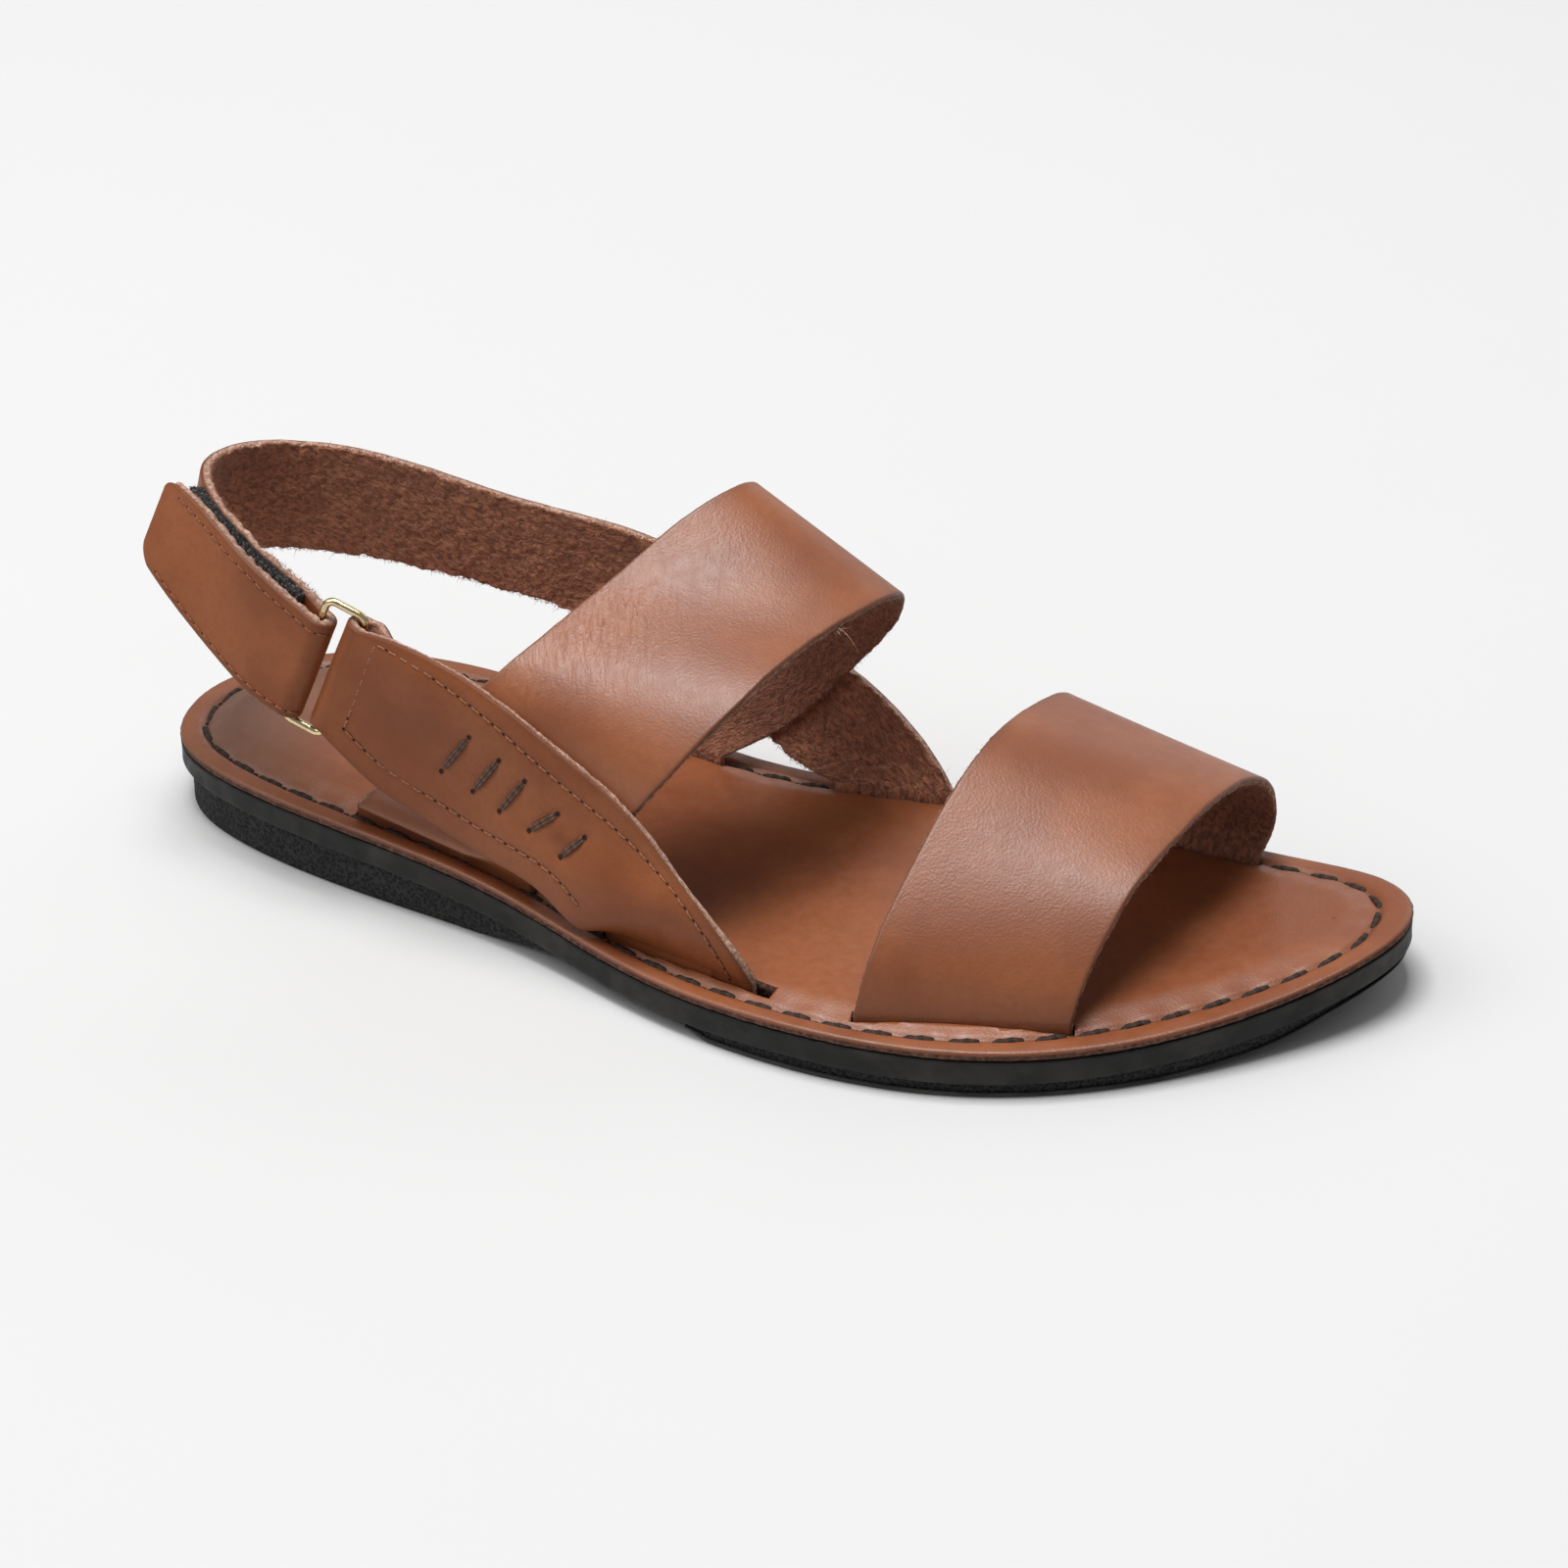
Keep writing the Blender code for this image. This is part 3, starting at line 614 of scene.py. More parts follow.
class Graph:
    """Node tree of one material, with short calls for what the finishes share."""

    def __init__(self, name: str) -> None:
        """Starts a material with its shader."""
        self.material: Material = bpy.data.materials.new(name)
        self.material.use_nodes = True
        self.nodes = self.material.node_tree.nodes
        self.links = self.material.node_tree.links
        self.shader = self.nodes["Principled BSDF"]
        self.place = self.node("TexCoord", "Object", {})

    def put(self, socket: Socket, value: Union[Amount, Colour]) -> None:
        """Sets a socket to a constant, or links it."""
        if isinstance(value, bpy.types.NodeSocket):
            self.links.new(value, socket)
        elif isinstance(value, tuple) and socket.type == "RGBA":
            socket.default_value = (*value, 1.0)
        else:
            socket.default_value = value

    def shade(self, **values: Union[Amount, Colour]) -> Material:
        """Sets the shader's sockets by name, with underscores for spaces.

        Returns:
            The material.
        """
        for name, value in values.items():
            self.put(self.shader.inputs[name.replace("_", " ")], value)
        return self.material

    def node(
        self, kind: str, output: Union[int, str], inputs: dict[Union[int, str], Amount], **settings: str
    ) -> Socket:
        """Adds a node.

        Args:
            kind: its type, without the leading ShaderNode.
            output: which of its outputs is wanted.
            inputs: a constant or a socket for each input, by name or number.
            settings: its settings by name.

        Returns:
            The output's socket.
        """
        node = self.nodes.new(f"ShaderNode{kind}")
        for name, setting in settings.items():
            setattr(node, name, setting)
        for name, value in inputs.items():
            self.put(node.inputs[name], value)
        return node.outputs[output]

    def noise(
        self, size: float, detail: float = 2.0, place: Optional[Socket] = None, bend: float = 0.0
    ) -> Socket:
        """Cloudy noise whose features are size millimetres wide."""
        inputs = {"Vector": place or self.place, "Scale": 1 / (size * MILLIMETRE)}
        return self.node("TexNoise", "Fac", inputs | {"Detail": detail, "Distortion": bend})

    def cells(self, size: float, feature: str = "F1") -> Socket:
        """Distance to the middle of cells that are size millimetres wide."""
        inputs = {"Vector": self.place, "Scale": 1 / (size * MILLIMETRE)}
        return self.node("TexVoronoi", "Distance", inputs, feature=feature)

    def stretched(self, along: float, across: float, turn: float = 0.0) -> Socket:
        """Flat coordinates turned and squeezed, so that noise on them runs in streaks.

        Args:
            along: scale along the streaks.
            across: scale across them.
            turn: degrees from the strap's length.

        Returns:
            A vector socket.
        """
        flat = self.node("UVMap", "UV", {}, uv_map="flat")
        inputs = {"Vector": flat, "Angle": math.radians(turn)}
        turned = self.node("VectorRotate", "Vector", inputs, rotation_type="Z_AXIS")
        return self.node("Mapping", "Vector", {"Vector": turned, "Scale": (along, across, 1.0)})

    def value(self, name: str) -> Socket:
        """A named value of the mesh's points."""
        return self.node("Attribute", "Fac", {}, attribute_name=name)

    def span(self, value: Socket, low: float, high: float, first: float = 0.0, last: float = 1.0) -> Socket:
        """Takes low..high to first..last, smoothly and held at both ends."""
        inputs = {"Value": value, "From Min": low, "From Max": high, "To Min": first, "To Max": last}
        return self.node("MapRange", "Result", inputs, interpolation_type="SMOOTHSTEP")

    def math(self, operation: str, first: Amount, second: Amount) -> Socket:
        """One sum of two numbers."""
        return self.node("Math", 0, {0: first, 1: second}, operation=operation)

    def blend(self, amount: Amount, first: Union[Colour, Socket], second: Union[Colour, Socket]) -> Socket:
        """A colour between two colours."""
        return self.node("Mix", 2, {"Factor": amount, 6: first, 7: second}, data_type="RGBA")

    def bump(
        self, height: Socket, depth: float, over: Optional[Socket] = None, strength: Amount = 1.0
    ) -> Socket:
        """A normal from a height.

        Args:
            height: 0 to 1.
            depth: what 1 stands for, millimetres.
            over: normal that it is added to.
            strength: how much of it shows.

        Returns:
            A normal socket.
        """
        inputs = {"Distance": depth * MILLIMETRE, "Strength": strength, "Height": height}
        if over:
            inputs["Normal"] = over
        return self.node("Bump", "Normal", inputs)


@dataclass(frozen=True)
class GrainLeather:
    """Smooth aniline leather, grain side out."""

    name: str
    tone: Colour = (0.270, 0.083, 0.028)
    deep: Colour = (0.200, 0.054, 0.016)
    rim: Colour = (0.080, 0.025, 0.010)
    # Greyish tone of the insole's heel patch: partly wear, partly painted shade of the heel strap and tab.
    worn: Colour = (0.138, 0.084, 0.061)
    pore: float = 0.5
    pore_depth: float = 0.045
    wave: float = 9.0
    wave_depth: float = 0.03
    roughness: tuple[float, float] = (0.41, 0.46)
    gloss: float = 0.54

    def material(self) -> Material:
        """Makes the material."""
        g = Graph(self.name)
        colour = g.blend(g.span(g.noise(24, 3), 0.36, 0.64), self.deep, self.tone)
        fleck = g.span(g.noise(1.6, 4), 0.35, 0.75, 0.0, 0.35)
        colour = g.blend(fleck, colour, self.deep)
        # Insole heel patch: partly wear, partly painted shade of the heel strap and tab.
        colour = g.blend(g.value("worn"), colour, self.worn)
        # Darker by the rim value: edge burnish and strap stains, and on the insole also painted shade in
        # the stitch groove and painted shadow under the outer wing.
        colour = g.blend(g.math("MULTIPLY", g.value("rim"), 0.6), colour, self.rim)
        pores = g.cells(self.pore, "SMOOTH_F1")
        normal = g.bump(g.noise(self.wave, 1), self.wave_depth)
        normal = g.bump(g.noise(0.4, 2), 0.015, normal)
        normal = g.bump(pores, self.pore_depth, normal)
        streaks = g.noise(0.9, 3, g.stretched(0.16, 1.0, 39), 0.8)
        # Darker streaks in the creases: painted shade; the bump below gives the creases' relief.
        lines = g.math("MULTIPLY", g.span(streaks, 0.5, 0.7), g.value("crease"))
        colour = g.blend(lines, colour, self.deep)
        normal = g.bump(streaks, 0.4, normal, g.value("crease"))
        gloss = g.span(g.noise(2.4, 3), 0.3, 0.7, *self.roughness)
        g.shade(Coat_Weight=0.05, Coat_Roughness=0.38, Specular_IOR_Level=self.gloss)
        return g.shade(Base_Color=colour, Roughness=gloss, Normal=normal)


@dataclass(frozen=True)
class FleshLeather:
    """Napped flesh side of the leather, with fibres in clumps."""

    name: str
    tone: Colour = (0.390, 0.152, 0.083)
    deep: Colour = (0.170, 0.060, 0.030)
    nap_depth: float = 0.75

    def material(self) -> Material:
        """Makes the material."""
        g = Graph(self.name)
        clumps = g.noise(0.9, 5, g.stretched(0.6, 1.0, 12), 1.0)
        patches = g.noise(9, 2)
        colour = g.blend(g.span(clumps, 0.34, 0.66), self.deep, self.tone)
        colour = g.blend(g.span(patches, 0.35, 0.7, 0.0, 0.35), colour, self.deep)
        normal = g.bump(clumps, self.nap_depth)
        normal = g.bump(g.noise(0.35, 3), 0.16, normal)
        g.shade(Sheen_Weight=0.12, Sheen_Roughness=0.6)
        return g.shade(Base_Color=colour, Roughness=0.95, Normal=normal)


@dataclass(frozen=True)
class CutEdge:
    """Raw cut edge of the leather."""

    name: str
    tone: Colour = (0.38, 0.225, 0.165)
    deep: Colour = (0.190, 0.090, 0.056)
    fibre: float = 0.8
    depth: float = 0.25
    burnt: Colour = (0.050, 0.018, 0.009)

    def material(self) -> Material:
        """Makes the material."""
        g = Graph(self.name)
        fibres = g.noise(self.fibre, 5)
        colour = g.blend(g.span(fibres, 0.36, 0.66), self.deep, self.tone)
        colour = g.blend(g.span(g.noise(7, 2), 0.4, 0.7, 0.0, 0.5), colour, self.deep)
        colour = g.blend(g.math("MULTIPLY", g.value("rim"), 0.5), colour, self.burnt)
        normal = g.bump(fibres, self.depth)
        return g.shade(Base_Color=colour, Roughness=0.85, Normal=normal, Specular_IOR_Level=0.3)


@dataclass(frozen=True)
class SmoothRubber:
    """Moulded black rubber, with a dull skin and a little dust."""

    name: str
    tone: Colour = (0.016, 0.0153, 0.0147)
    dust: Colour = (0.038, 0.036, 0.033)

    def material(self) -> Material:
        """Makes the material."""
        g = Graph(self.name)
        cloudy = g.noise(11, 5)
        colour = g.blend(g.span(cloudy, 0.4, 0.75), self.tone, self.dust)
        specks = g.span(g.cells(2.6), 0.0, 0.07, 0.5, 0.0)
        colour = g.blend(specks, colour, (0.16, 0.155, 0.15))
        normal = g.bump(g.noise(0.6, 4), 0.05)
        normal = g.bump(g.noise(7, 2), 0.2, normal)
        gloss = g.span(g.noise(4, 3), 0.3, 0.7, 0.42, 0.6)
        return g.shade(Base_Color=colour, Roughness=gloss, Normal=normal, Specular_IOR_Level=0.18)


@dataclass(frozen=True)
class CellularRubber:
    """Cut side of cellular rubber: open pits with grey walls."""

    name: str
    cell: float = 0.85
    tone: Colour = (0.040, 0.039, 0.038)
    pit: Colour = (0.007, 0.007, 0.007)
    depth: float = 0.5

    def material(self) -> Material:
        """Makes the material."""
        g = Graph(self.name)
        pits = g.cells(self.cell)
        fine = g.noise(self.cell * 0.6, 4)
        height = g.math("ADD", g.math("MULTIPLY", pits, 0.6), g.math("MULTIPLY", fine, 0.6))
        colour = g.blend(g.span(height, 0.35, 0.85), self.pit, self.tone)
        normal = g.bump(height, self.depth)
        return g.shade(Base_Color=colour, Roughness=0.9, Normal=normal, Specular_IOR_Level=0.3)


@dataclass(frozen=True)
class Thread:
    """Twisted thread."""

    name: str
    tone: Colour
    deep: Colour
    twist: float = 0.5
    roughness: float = 0.6

    def material(self) -> Material:
        """Makes the material."""
        g = Graph(self.name)
        plies = g.noise(self.twist, 2, g.stretched(1.0, 0.35, 35))
        colour = g.blend(g.span(plies, 0.35, 0.65), self.deep, self.tone)
        normal = g.bump(plies, 0.2)
        return g.shade(Base_Color=colour, Roughness=self.roughness, Normal=normal, Specular_IOR_Level=0.3)


@dataclass(frozen=True)
class BrassWire:
    """Pale polished brass plating."""

    name: str
    tone: Colour = (0.78, 0.64, 0.36)
    worn: Colour = (0.62, 0.50, 0.30)

    def material(self) -> Material:
        """Makes the material."""
        g = Graph(self.name)
        cloudy = g.noise(3, 4)
        colour = g.blend(g.span(cloudy, 0.4, 0.7), self.tone, self.worn)
        gloss = g.span(g.noise(1.2, 3), 0.3, 0.7, 0.14, 0.26)
        normal = g.bump(g.noise(0.8, 2), 0.02)
        return g.shade(Base_Color=colour, Metallic=1.0, Roughness=gloss, Normal=normal)


@dataclass(frozen=True)
class TapeFabric:
    """Hook-and-loop tape: a dark woven ground under fuzzy loops."""

    name: str
    tone: Colour = (0.170, 0.130, 0.115)
    deep: Colour = (0.005, 0.004, 0.004)
    loop: float = 0.8

    def material(self) -> Material:
        """Makes the material."""
        g = Graph(self.name)
        loops = g.cells(self.loop)
        colour = g.blend(g.span(loops, 0.08, 0.42), self.tone, self.deep)
        normal = g.bump(loops, 0.5)
        return g.shade(Base_Color=colour, Roughness=0.9, Normal=normal, Sheen_Weight=0.2)


@dataclass(frozen=True)
class PaleFloor:
    """Seamless pale studio floor."""

    name: str
    tone: Colour = (0.60, 0.60, 0.60)

    def material(self) -> Material:
        """Makes the material."""
        g = Graph(self.name)
        light = tuple(min(1.0, c * 1.01) for c in self.tone)
        colour = g.blend(g.noise(60, 2), self.tone, light)
        return g.shade(Base_Color=colour, Roughness=0.9, Specular_IOR_Level=0.1)


class Side(IntEnum):
    """Material numbers of a strap's faces."""

    GRAIN = 0
    EDGE = 1
    FLESH = 2


class Line(Enum):
    """How a thread is laid."""

    RUNNING = "running"
    SADDLE = "saddle"


@dataclass(frozen=True)
class Wardrobe:
    """The finishes that the pieces share, each made once."""

    toe: Material
    strap: Material
    wing: Material
    insole: Material
    flesh: Material
    heel_flesh: Material
    edge: Material
    heel_edge: Material
    rim_edge: Material
    fine_thread: Material
    tab_thread: Material
    waxed_thread: Material
    bar_thread: Material
    pinhole: Material

    @classmethod
    def stock(cls) -> "Wardrobe":
        """Makes the shared finishes."""
        finishes = dict(
            toe=GrainLeather("toe_grain"),
            strap=GrainLeather("strap_grain"),
            wing=GrainLeather("wing_grain", roughness=(0.46, 0.56), gloss=0.22),
            insole=GrainLeather("insole_grain", roughness=(0.40, 0.52)),
            flesh=FleshLeather("flesh_side"),
            heel_flesh=FleshLeather("heel_flesh", (0.50, 0.205, 0.110), (0.215, 0.080, 0.040)),
            edge=CutEdge("strap_edge"),
            heel_edge=CutEdge("heel_edge", (0.54, 0.35, 0.275), (0.27, 0.145, 0.098), 0.7, 0.3),
            rim_edge=CutEdge("insole_edge", (0.155, 0.074, 0.050), (0.058, 0.024, 0.015), 1.0, 0.5),
            fine_thread=Thread("fine_thread", (0.37, 0.175, 0.100), (0.24, 0.088, 0.042)),
            tab_thread=Thread("tab_thread", (0.31, 0.112, 0.055), (0.20, 0.062, 0.026)),
            waxed_thread=Thread("waxed_thread", (0.046, 0.024, 0.016), (0.014, 0.007, 0.0045), 0.8, 0.7),
            bar_thread=Thread("bar_thread", (0.150, 0.080, 0.054), (0.060, 0.029, 0.019), 0.7, 0.55),
            pinhole=CutEdge("pinhole", (0.034, 0.013, 0.008), (0.012, 0.005, 0.003)),
        )
        return cls(**{use: finish.material() for use, finish in finishes.items()})


def edge_lanes(width: float, count: int) -> Array:
    """Places across a strap, 0 to 1, close together at both edges.

    Args:
        width: the strap's usual width, millimetres.
        count: how many even places lie between the edges.

    Returns:
        Rising shares of the width.
    """
    near = np.array([0.0, 0.08, 0.2, 0.36, 0.6, 1.0, 1.6])
    inside = np.linspace(2.4, width - 2.4, count)
    return np.r_[near, inside, (width - near)[::-1]] / width


def tucked(row: Array) -> Array:
    """The row of a strap's end that stands in its slot, just over the midsole."""
    low = np.array(row, float)
    low[:, 2] = SOLE.band_top(low[:, 0]) + SOLE.gap
    return low


def wing_rows(table: Sequence[Wing], lanes: Array) -> list[Array]:
    """Rows of a wing on the outside of the instep strap.

    Args:
        table: its sections.
        lanes: places across it, 0 to 1.

    Returns:
        One (lanes, 3) array for each section.
    """
    strap_wall = 1.8
    wing_wall = 2.2
    join_depth = 0.5
    stand = (strap_wall + wing_wall) / 2 - join_depth
    rows = []
    for w in table:
        r = w.low_r + (w.top_r - w.low_r) * lanes
        t = w.low_t + (w.top_t - w.low_t) * lanes
        away = stand + w.out + w.lift * (1 - lanes) ** 1.5
        rows.append(INSTEP.at(r, t) + away[:, None] * INSTEP.normal(r, t))
    return rows


def edge_rows(table: Sequence[Rule], lanes: Array) -> list[Array]:
    """Straight rows between the low and top edges of a table."""
    low = np.array([e[:3] for e in table])
    top = np.array([e[3:] for e in table])
    return list(low[:, None] + lanes[:, None] * (top - low)[:, None])


def between(grid: Array, row: Array, lane: Array) -> Array:
    """Values of a grid at broken row and lane numbers."""
    i = np.clip(np.floor(row).astype(int), 0, grid.shape[0] - 2)
    j = np.clip(np.floor(lane).astype(int), 0, grid.shape[1] - 2)
    a = (row - i)[..., None]
    b = (lane - j)[..., None]
    near = grid[i, j] * (1 - b) + grid[i, j + 1] * b
    far = grid[i + 1, j] * (1 - b) + grid[i + 1, j + 1] * b
    return near * (1 - a) + far * a


@dataclass
class Sheet:
    """Middle surface of a strap: a grid of rows along it and lanes across from its low or rear edge."""

    mid: Array
    lanes: Array
    outward: float = 1.0
    normal: Array = field(init=False)
    along: Array = field(init=False)
    width: Array = field(init=False)

    def __post_init__(self) -> None:
        """Works out normals, distances along and widths."""
        down = np.gradient(self.mid, axis=0)
        across = np.gradient(self.mid, self.lanes, axis=1)
        self.normal = self.outward * unit(np.cross(down, across))
        self.along = reach_of(self.mid[:, len(self.lanes) // 2])
        self.width = np.linalg.norm(np.diff(self.mid, axis=1), axis=2).sum(axis=1)

    def place(self, along: Array, across: Array, lift: float) -> tuple[Array, Array]:
        """Points over the surface.

        Args:
            along: distances along the strap, millimetres.
            across: distances from its low edge, or from its top edge where negative.
            lift: height over the middle surface, on the outward side where positive.

        Returns:
            The points, and unit normals on the lift's side.
        """
        along, across = np.broadcast_arrays(np.asarray(along, float), np.asarray(across, float))
        row = np.interp(along, self.along, np.arange(len(self.along)))
        width = np.interp(along, self.along, self.width)
        v = np.where(across < 0, 1 + across / width, across / width)
        lane = np.interp(v, self.lanes, np.arange(len(self.lanes)))
        normal = unit(between(self.normal, row, lane))
        return between(self.mid, row, lane) + lift * normal, normal * np.sign(lift)


def corner_round(inside: Array, radius: float) -> Array:
    """Drop of a rounded edge at distances inside it."""
    gap = np.clip(1 - inside / radius, 0, 1)
    return radius * (1 - np.sqrt(1 - gap**2))


@dataclass(frozen=True)
class StrapSkin:
    """How a strap's middle surface is thickened into leather, millimetres."""

    wall: float
    grain_round: float = 0.55
    flesh_round: float = 0.3
    edge_steps: int = 5
    seam: float = 0.0
    nap: float = 0.10
    wander: float = 0.14
    ragged: float = 0.22
    fray: float = 0.09
    wander_size: float = 5.0
    wander_reach: float = 2.0
    torn_size: float = 1.7
    torn_reach: float = 0.9
    edge_swell: float = 0.14
    burnish_reach: float = 0.8

    def mesh(
        self,
        name: str,
        sheet: Sheet,
        finishes: Sequence[Material],
        relief: Optional[Callable[[Array, Array], Array]] = None,
        crease: Optional[Callable[[Array, Array], Array]] = None,
        stain: Optional[Callable[[Array, Array], Array]] = None,
        turned_from: int = 1 << 30,
    ) -> Object:
        """Makes the strap.

        Args:
            name: the object's name.
            sheet: its middle surface.
            finishes: grain, edge and flesh materials.
            relief: outward move of the leather at distances along and across.
            crease: share of fine creases at distances along and across.
            stain: share of dark burnish on the grain at distances along and across.
            turned_from: row from which the grain is on the inner side of the sheet.

        Returns:
            The strap's object.
        """
        rows, lanes = sheet.mid.shape[:2]
        along = np.repeat(sheet.along[:, None], lanes, axis=1)
        from_low = sheet.lanes[None] * sheet.width[:, None]
        from_top = sheet.width[:, None] - from_low
        inside = np.minimum(from_low, from_top)
        turned = (np.arange(rows) >= turned_from)[:, None]

        # Edges that wander a little, each by a noise line of its own
        across = unit(np.gradient(sheet.mid, sheet.lanes, axis=1))
        line = np.c_[sheet.along, np.full(rows, 7.3), np.full(rows, self.wall)]
        low_wander = rough(line, self.wander_size)[:, None] * np.exp(-from_low / self.wander_reach)
        top_line = line + (0, 40, 0)
        top_wander = rough(top_line, self.wander_size)[:, None] * np.exp(-from_top / self.wander_reach)
        mid = sheet.mid + self.wander * (top_wander - low_wander)[..., None] * across
        if relief:
            mid = mid + relief(along, from_low)[..., None] * sheet.normal

        # The smooth grain face and the napped flesh face
        grain = self.wall / 2 - corner_round(inside, self.grain_round)
        fuzz = self.nap * (rough(sheet.mid, 0.9) + rough(sheet.mid, 3.0))
        flesh = self.wall / 2 - corner_round(inside, self.flesh_round) + fuzz
        torn = np.zeros_like(inside)
        for sign, y, gap in ((1, 80, from_top), (-1, 120, from_low)):
            torn += sign * rough(line + (0, y, 0), self.torn_size)[:, None] * np.exp(-gap / self.torn_reach)
        torn = (self.ragged * torn)[..., None] * across
        plus = mid + np.where(turned, flesh, grain)[..., None] * sheet.normal
        plus = plus + np.where(turned[..., None], torn, 0.0)
        minus = mid - np.where(turned, grain, flesh)[..., None] * sheet.normal
        minus = minus + np.where(turned[..., None], 0.0, torn)

        # The cut edges between the faces
        share = np.arange(1, self.edge_steps + 1) / (self.edge_steps + 1)
        swell = self.edge_swell * np.sin(math.pi * share) - self.seam * bell(share - 0.5, 0.1)
        walls = []
        for lane, sign in ((-1, 1.0), (0, -1.0)):
            first, last = plus[:, None, lane], minus[:, None, lane]
            wall = first * (1 - share)[None, :, None] + last * share[None, :, None]
            push = swell + np.where(turned, 0.3, 1.0) * self.fray * rough(wall, 0.9)
            walls.append(wall + sign * push[..., None] * across[:, None, lane])
        section = np.concatenate([plus, walls[0], minus[:, ::-1], walls[1][:, ::-1]], axis=1)

        # Burnish and creases, as values of the points; the crease value bumps the leather and paints shade
        # in the creases
        fade = bell(share, 0.3)
        edge = np.where(turned, fade[None, ::-1], fade[None])
        burnish = np.exp(-inside / self.burnish_reach)
        if stain:
            burnish = np.maximum(burnish, stain(along, from_low))
        bare = np.zeros_like(burnish)
        outer = np.where(turned, bare, burnish)
        inner = np.where(turned, burnish, bare)
        rim = np.concatenate([outer, edge, inner[:, ::-1], edge[:, ::-1]], axis=1)
        lined = crease(along, from_low) if crease else np.zeros_like(along)
        lines = np.concatenate([lined, 0 * edge, 0 * lined, 0 * edge], axis=1)

        # One closed section for each row
        draft = MeshDraft()
        index = draft.add(section, rim=rim, crease=lines)
        round_it = np.linalg.norm(np.diff(section, axis=1, append=section[:, :1]), axis=2).mean(axis=0)
        v = np.r_[0, np.cumsum(round_it)]
        uv = np.stack(np.meshgrid(sheet.along, v, indexing="ij"), -1) * MILLIMETRE
        count = [lanes - 1, self.edge_steps + 1, lanes - 1, self.edge_steps + 1]
        plain = np.repeat([Side.GRAIN, Side.EDGE, Side.FLESH, Side.EDGE], count)
        flipped = np.repeat([Side.FLESH, Side.EDGE, Side.GRAIN, Side.EDGE], count)
        marks = np.where(turned[1:], flipped[None], plain[None])
        draft.sheet(index, marks, wrap=True, uv=uv)
        for ring in (index[0], index[-1][::-1]):
            self._cap(draft, ring, lanes)
        return draft.make(name, finishes)

    def _cap(self, draft: MeshDraft, ring: Array, lanes: int) -> None:
        """Closes a strap's end across its section."""
        steps = self.edge_steps
        top = ring[:lanes]
        low = ring[lanes + steps : 2 * lanes + steps][::-1]
        draft.sheet(np.stack([low, top]), Side.EDGE)
        draft.face([*ring[lanes - 1 : lanes + steps + 1]], Side.EDGE)
        draft.face([*ring[2 * lanes + steps - 1 :], ring[0]], Side.EDGE)


@dataclass(frozen=True)
class Stitching:
    """A row of stitches, millimetres."""

    pitch: float
    length: float
    width: float
    height: float
    sink: float
    slant: float = 0.0
    jitter: float = 0.05
    hole: float = 0.4
    lay: Line = Line.RUNNING
    points: int = 11
    sides: int = 8
    crown: float = 0.42
    twist: float = 0.12
    thin_end: float = 0.62

    def sew(self, thread: MeshDraft, holes: MeshDraft, line: Array, up: Array, seed: int) -> None:
        """Adds the stitches along a line.

        Args:
            thread: where the thread goes.
            holes: where the dark holes between the stitches go.
            line: (n, 3) points on the surface, close together.
            up: (n, 3) normals of the surface.
            seed: start of the small differences between stitches.
        """
        draw = np.random.default_rng(seed)
        reach = reach_of(line)
        count = max(1, int(round(reach[-1] / self.pitch)))
        pitch = reach[-1] / count
        length = self.length * pitch / self.pitch
        q = np.linspace(-1, 1, self.points)
        flat = 1 - np.abs(q) ** 5
        for k in range(count):
            s = (k + 0.5) * pitch + q * length / 2 + draw.normal(0, self.jitter)
            place, top, aside = self._follow(line, up, reach, s)
            sway = self.slant * q + draw.normal(0, self.jitter) * (1 - q * q)
            rise = self.height * self.crown * flat - self.sink * (1 - flat)
            if self.lay is Line.SADDLE:
                rise = rise + self.twist * self.height * np.sin(3 * math.pi * q)
            middle = place + aside * sway[:, None] + top * rise[:, None]
            taper = self.thin_end + (1 - self.thin_end) * np.sqrt(np.clip(1 - q * q, 0, 1))
            radius = np.c_[self.width / 2 * taper, self.height / 2 * taper]
            thread.tube(middle, radius, aside, top, self.sides)
            if self.hole:
                self._prick(holes, line, up, reach, k * pitch)
        if self.hole:
            self._prick(holes, line, up, reach, reach[-1])

    def _follow(self, line: Array, up: Array, reach: Array, s: Array) -> tuple[Array, Array, Array]:
        """Points, normals and sideways vectors at distances along a line."""
        step = 0.2
        top = unit(read(up, reach, s))
        ahead = read(line, reach, s + step) - read(line, reach, s - step)
        return read(line, reach, s), top, unit(np.cross(top, ahead))

    def _prick(self, holes: MeshDraft, line: Array, up: Array, reach: Array, s: float) -> None:
        """Adds one dark hole: a small flat disc just over the surface."""
        shy = 0.05
        lift = 0.03
        at = np.clip(np.array([s]), shy, reach[-1] - shy)
        place, top, aside = self._follow(line, up, reach, at)
        ahead = np.cross(aside, top)
        turn = np.linspace(0, 2 * math.pi, 12, endpoint=False)
        long_way = 1.2 * self.hole * np.cos(turn)[:, None] * ahead
        wide_way = self.hole * np.sin(turn)[:, None] * aside
        holes.face(holes.add(place + lift * top + long_way + wide_way))


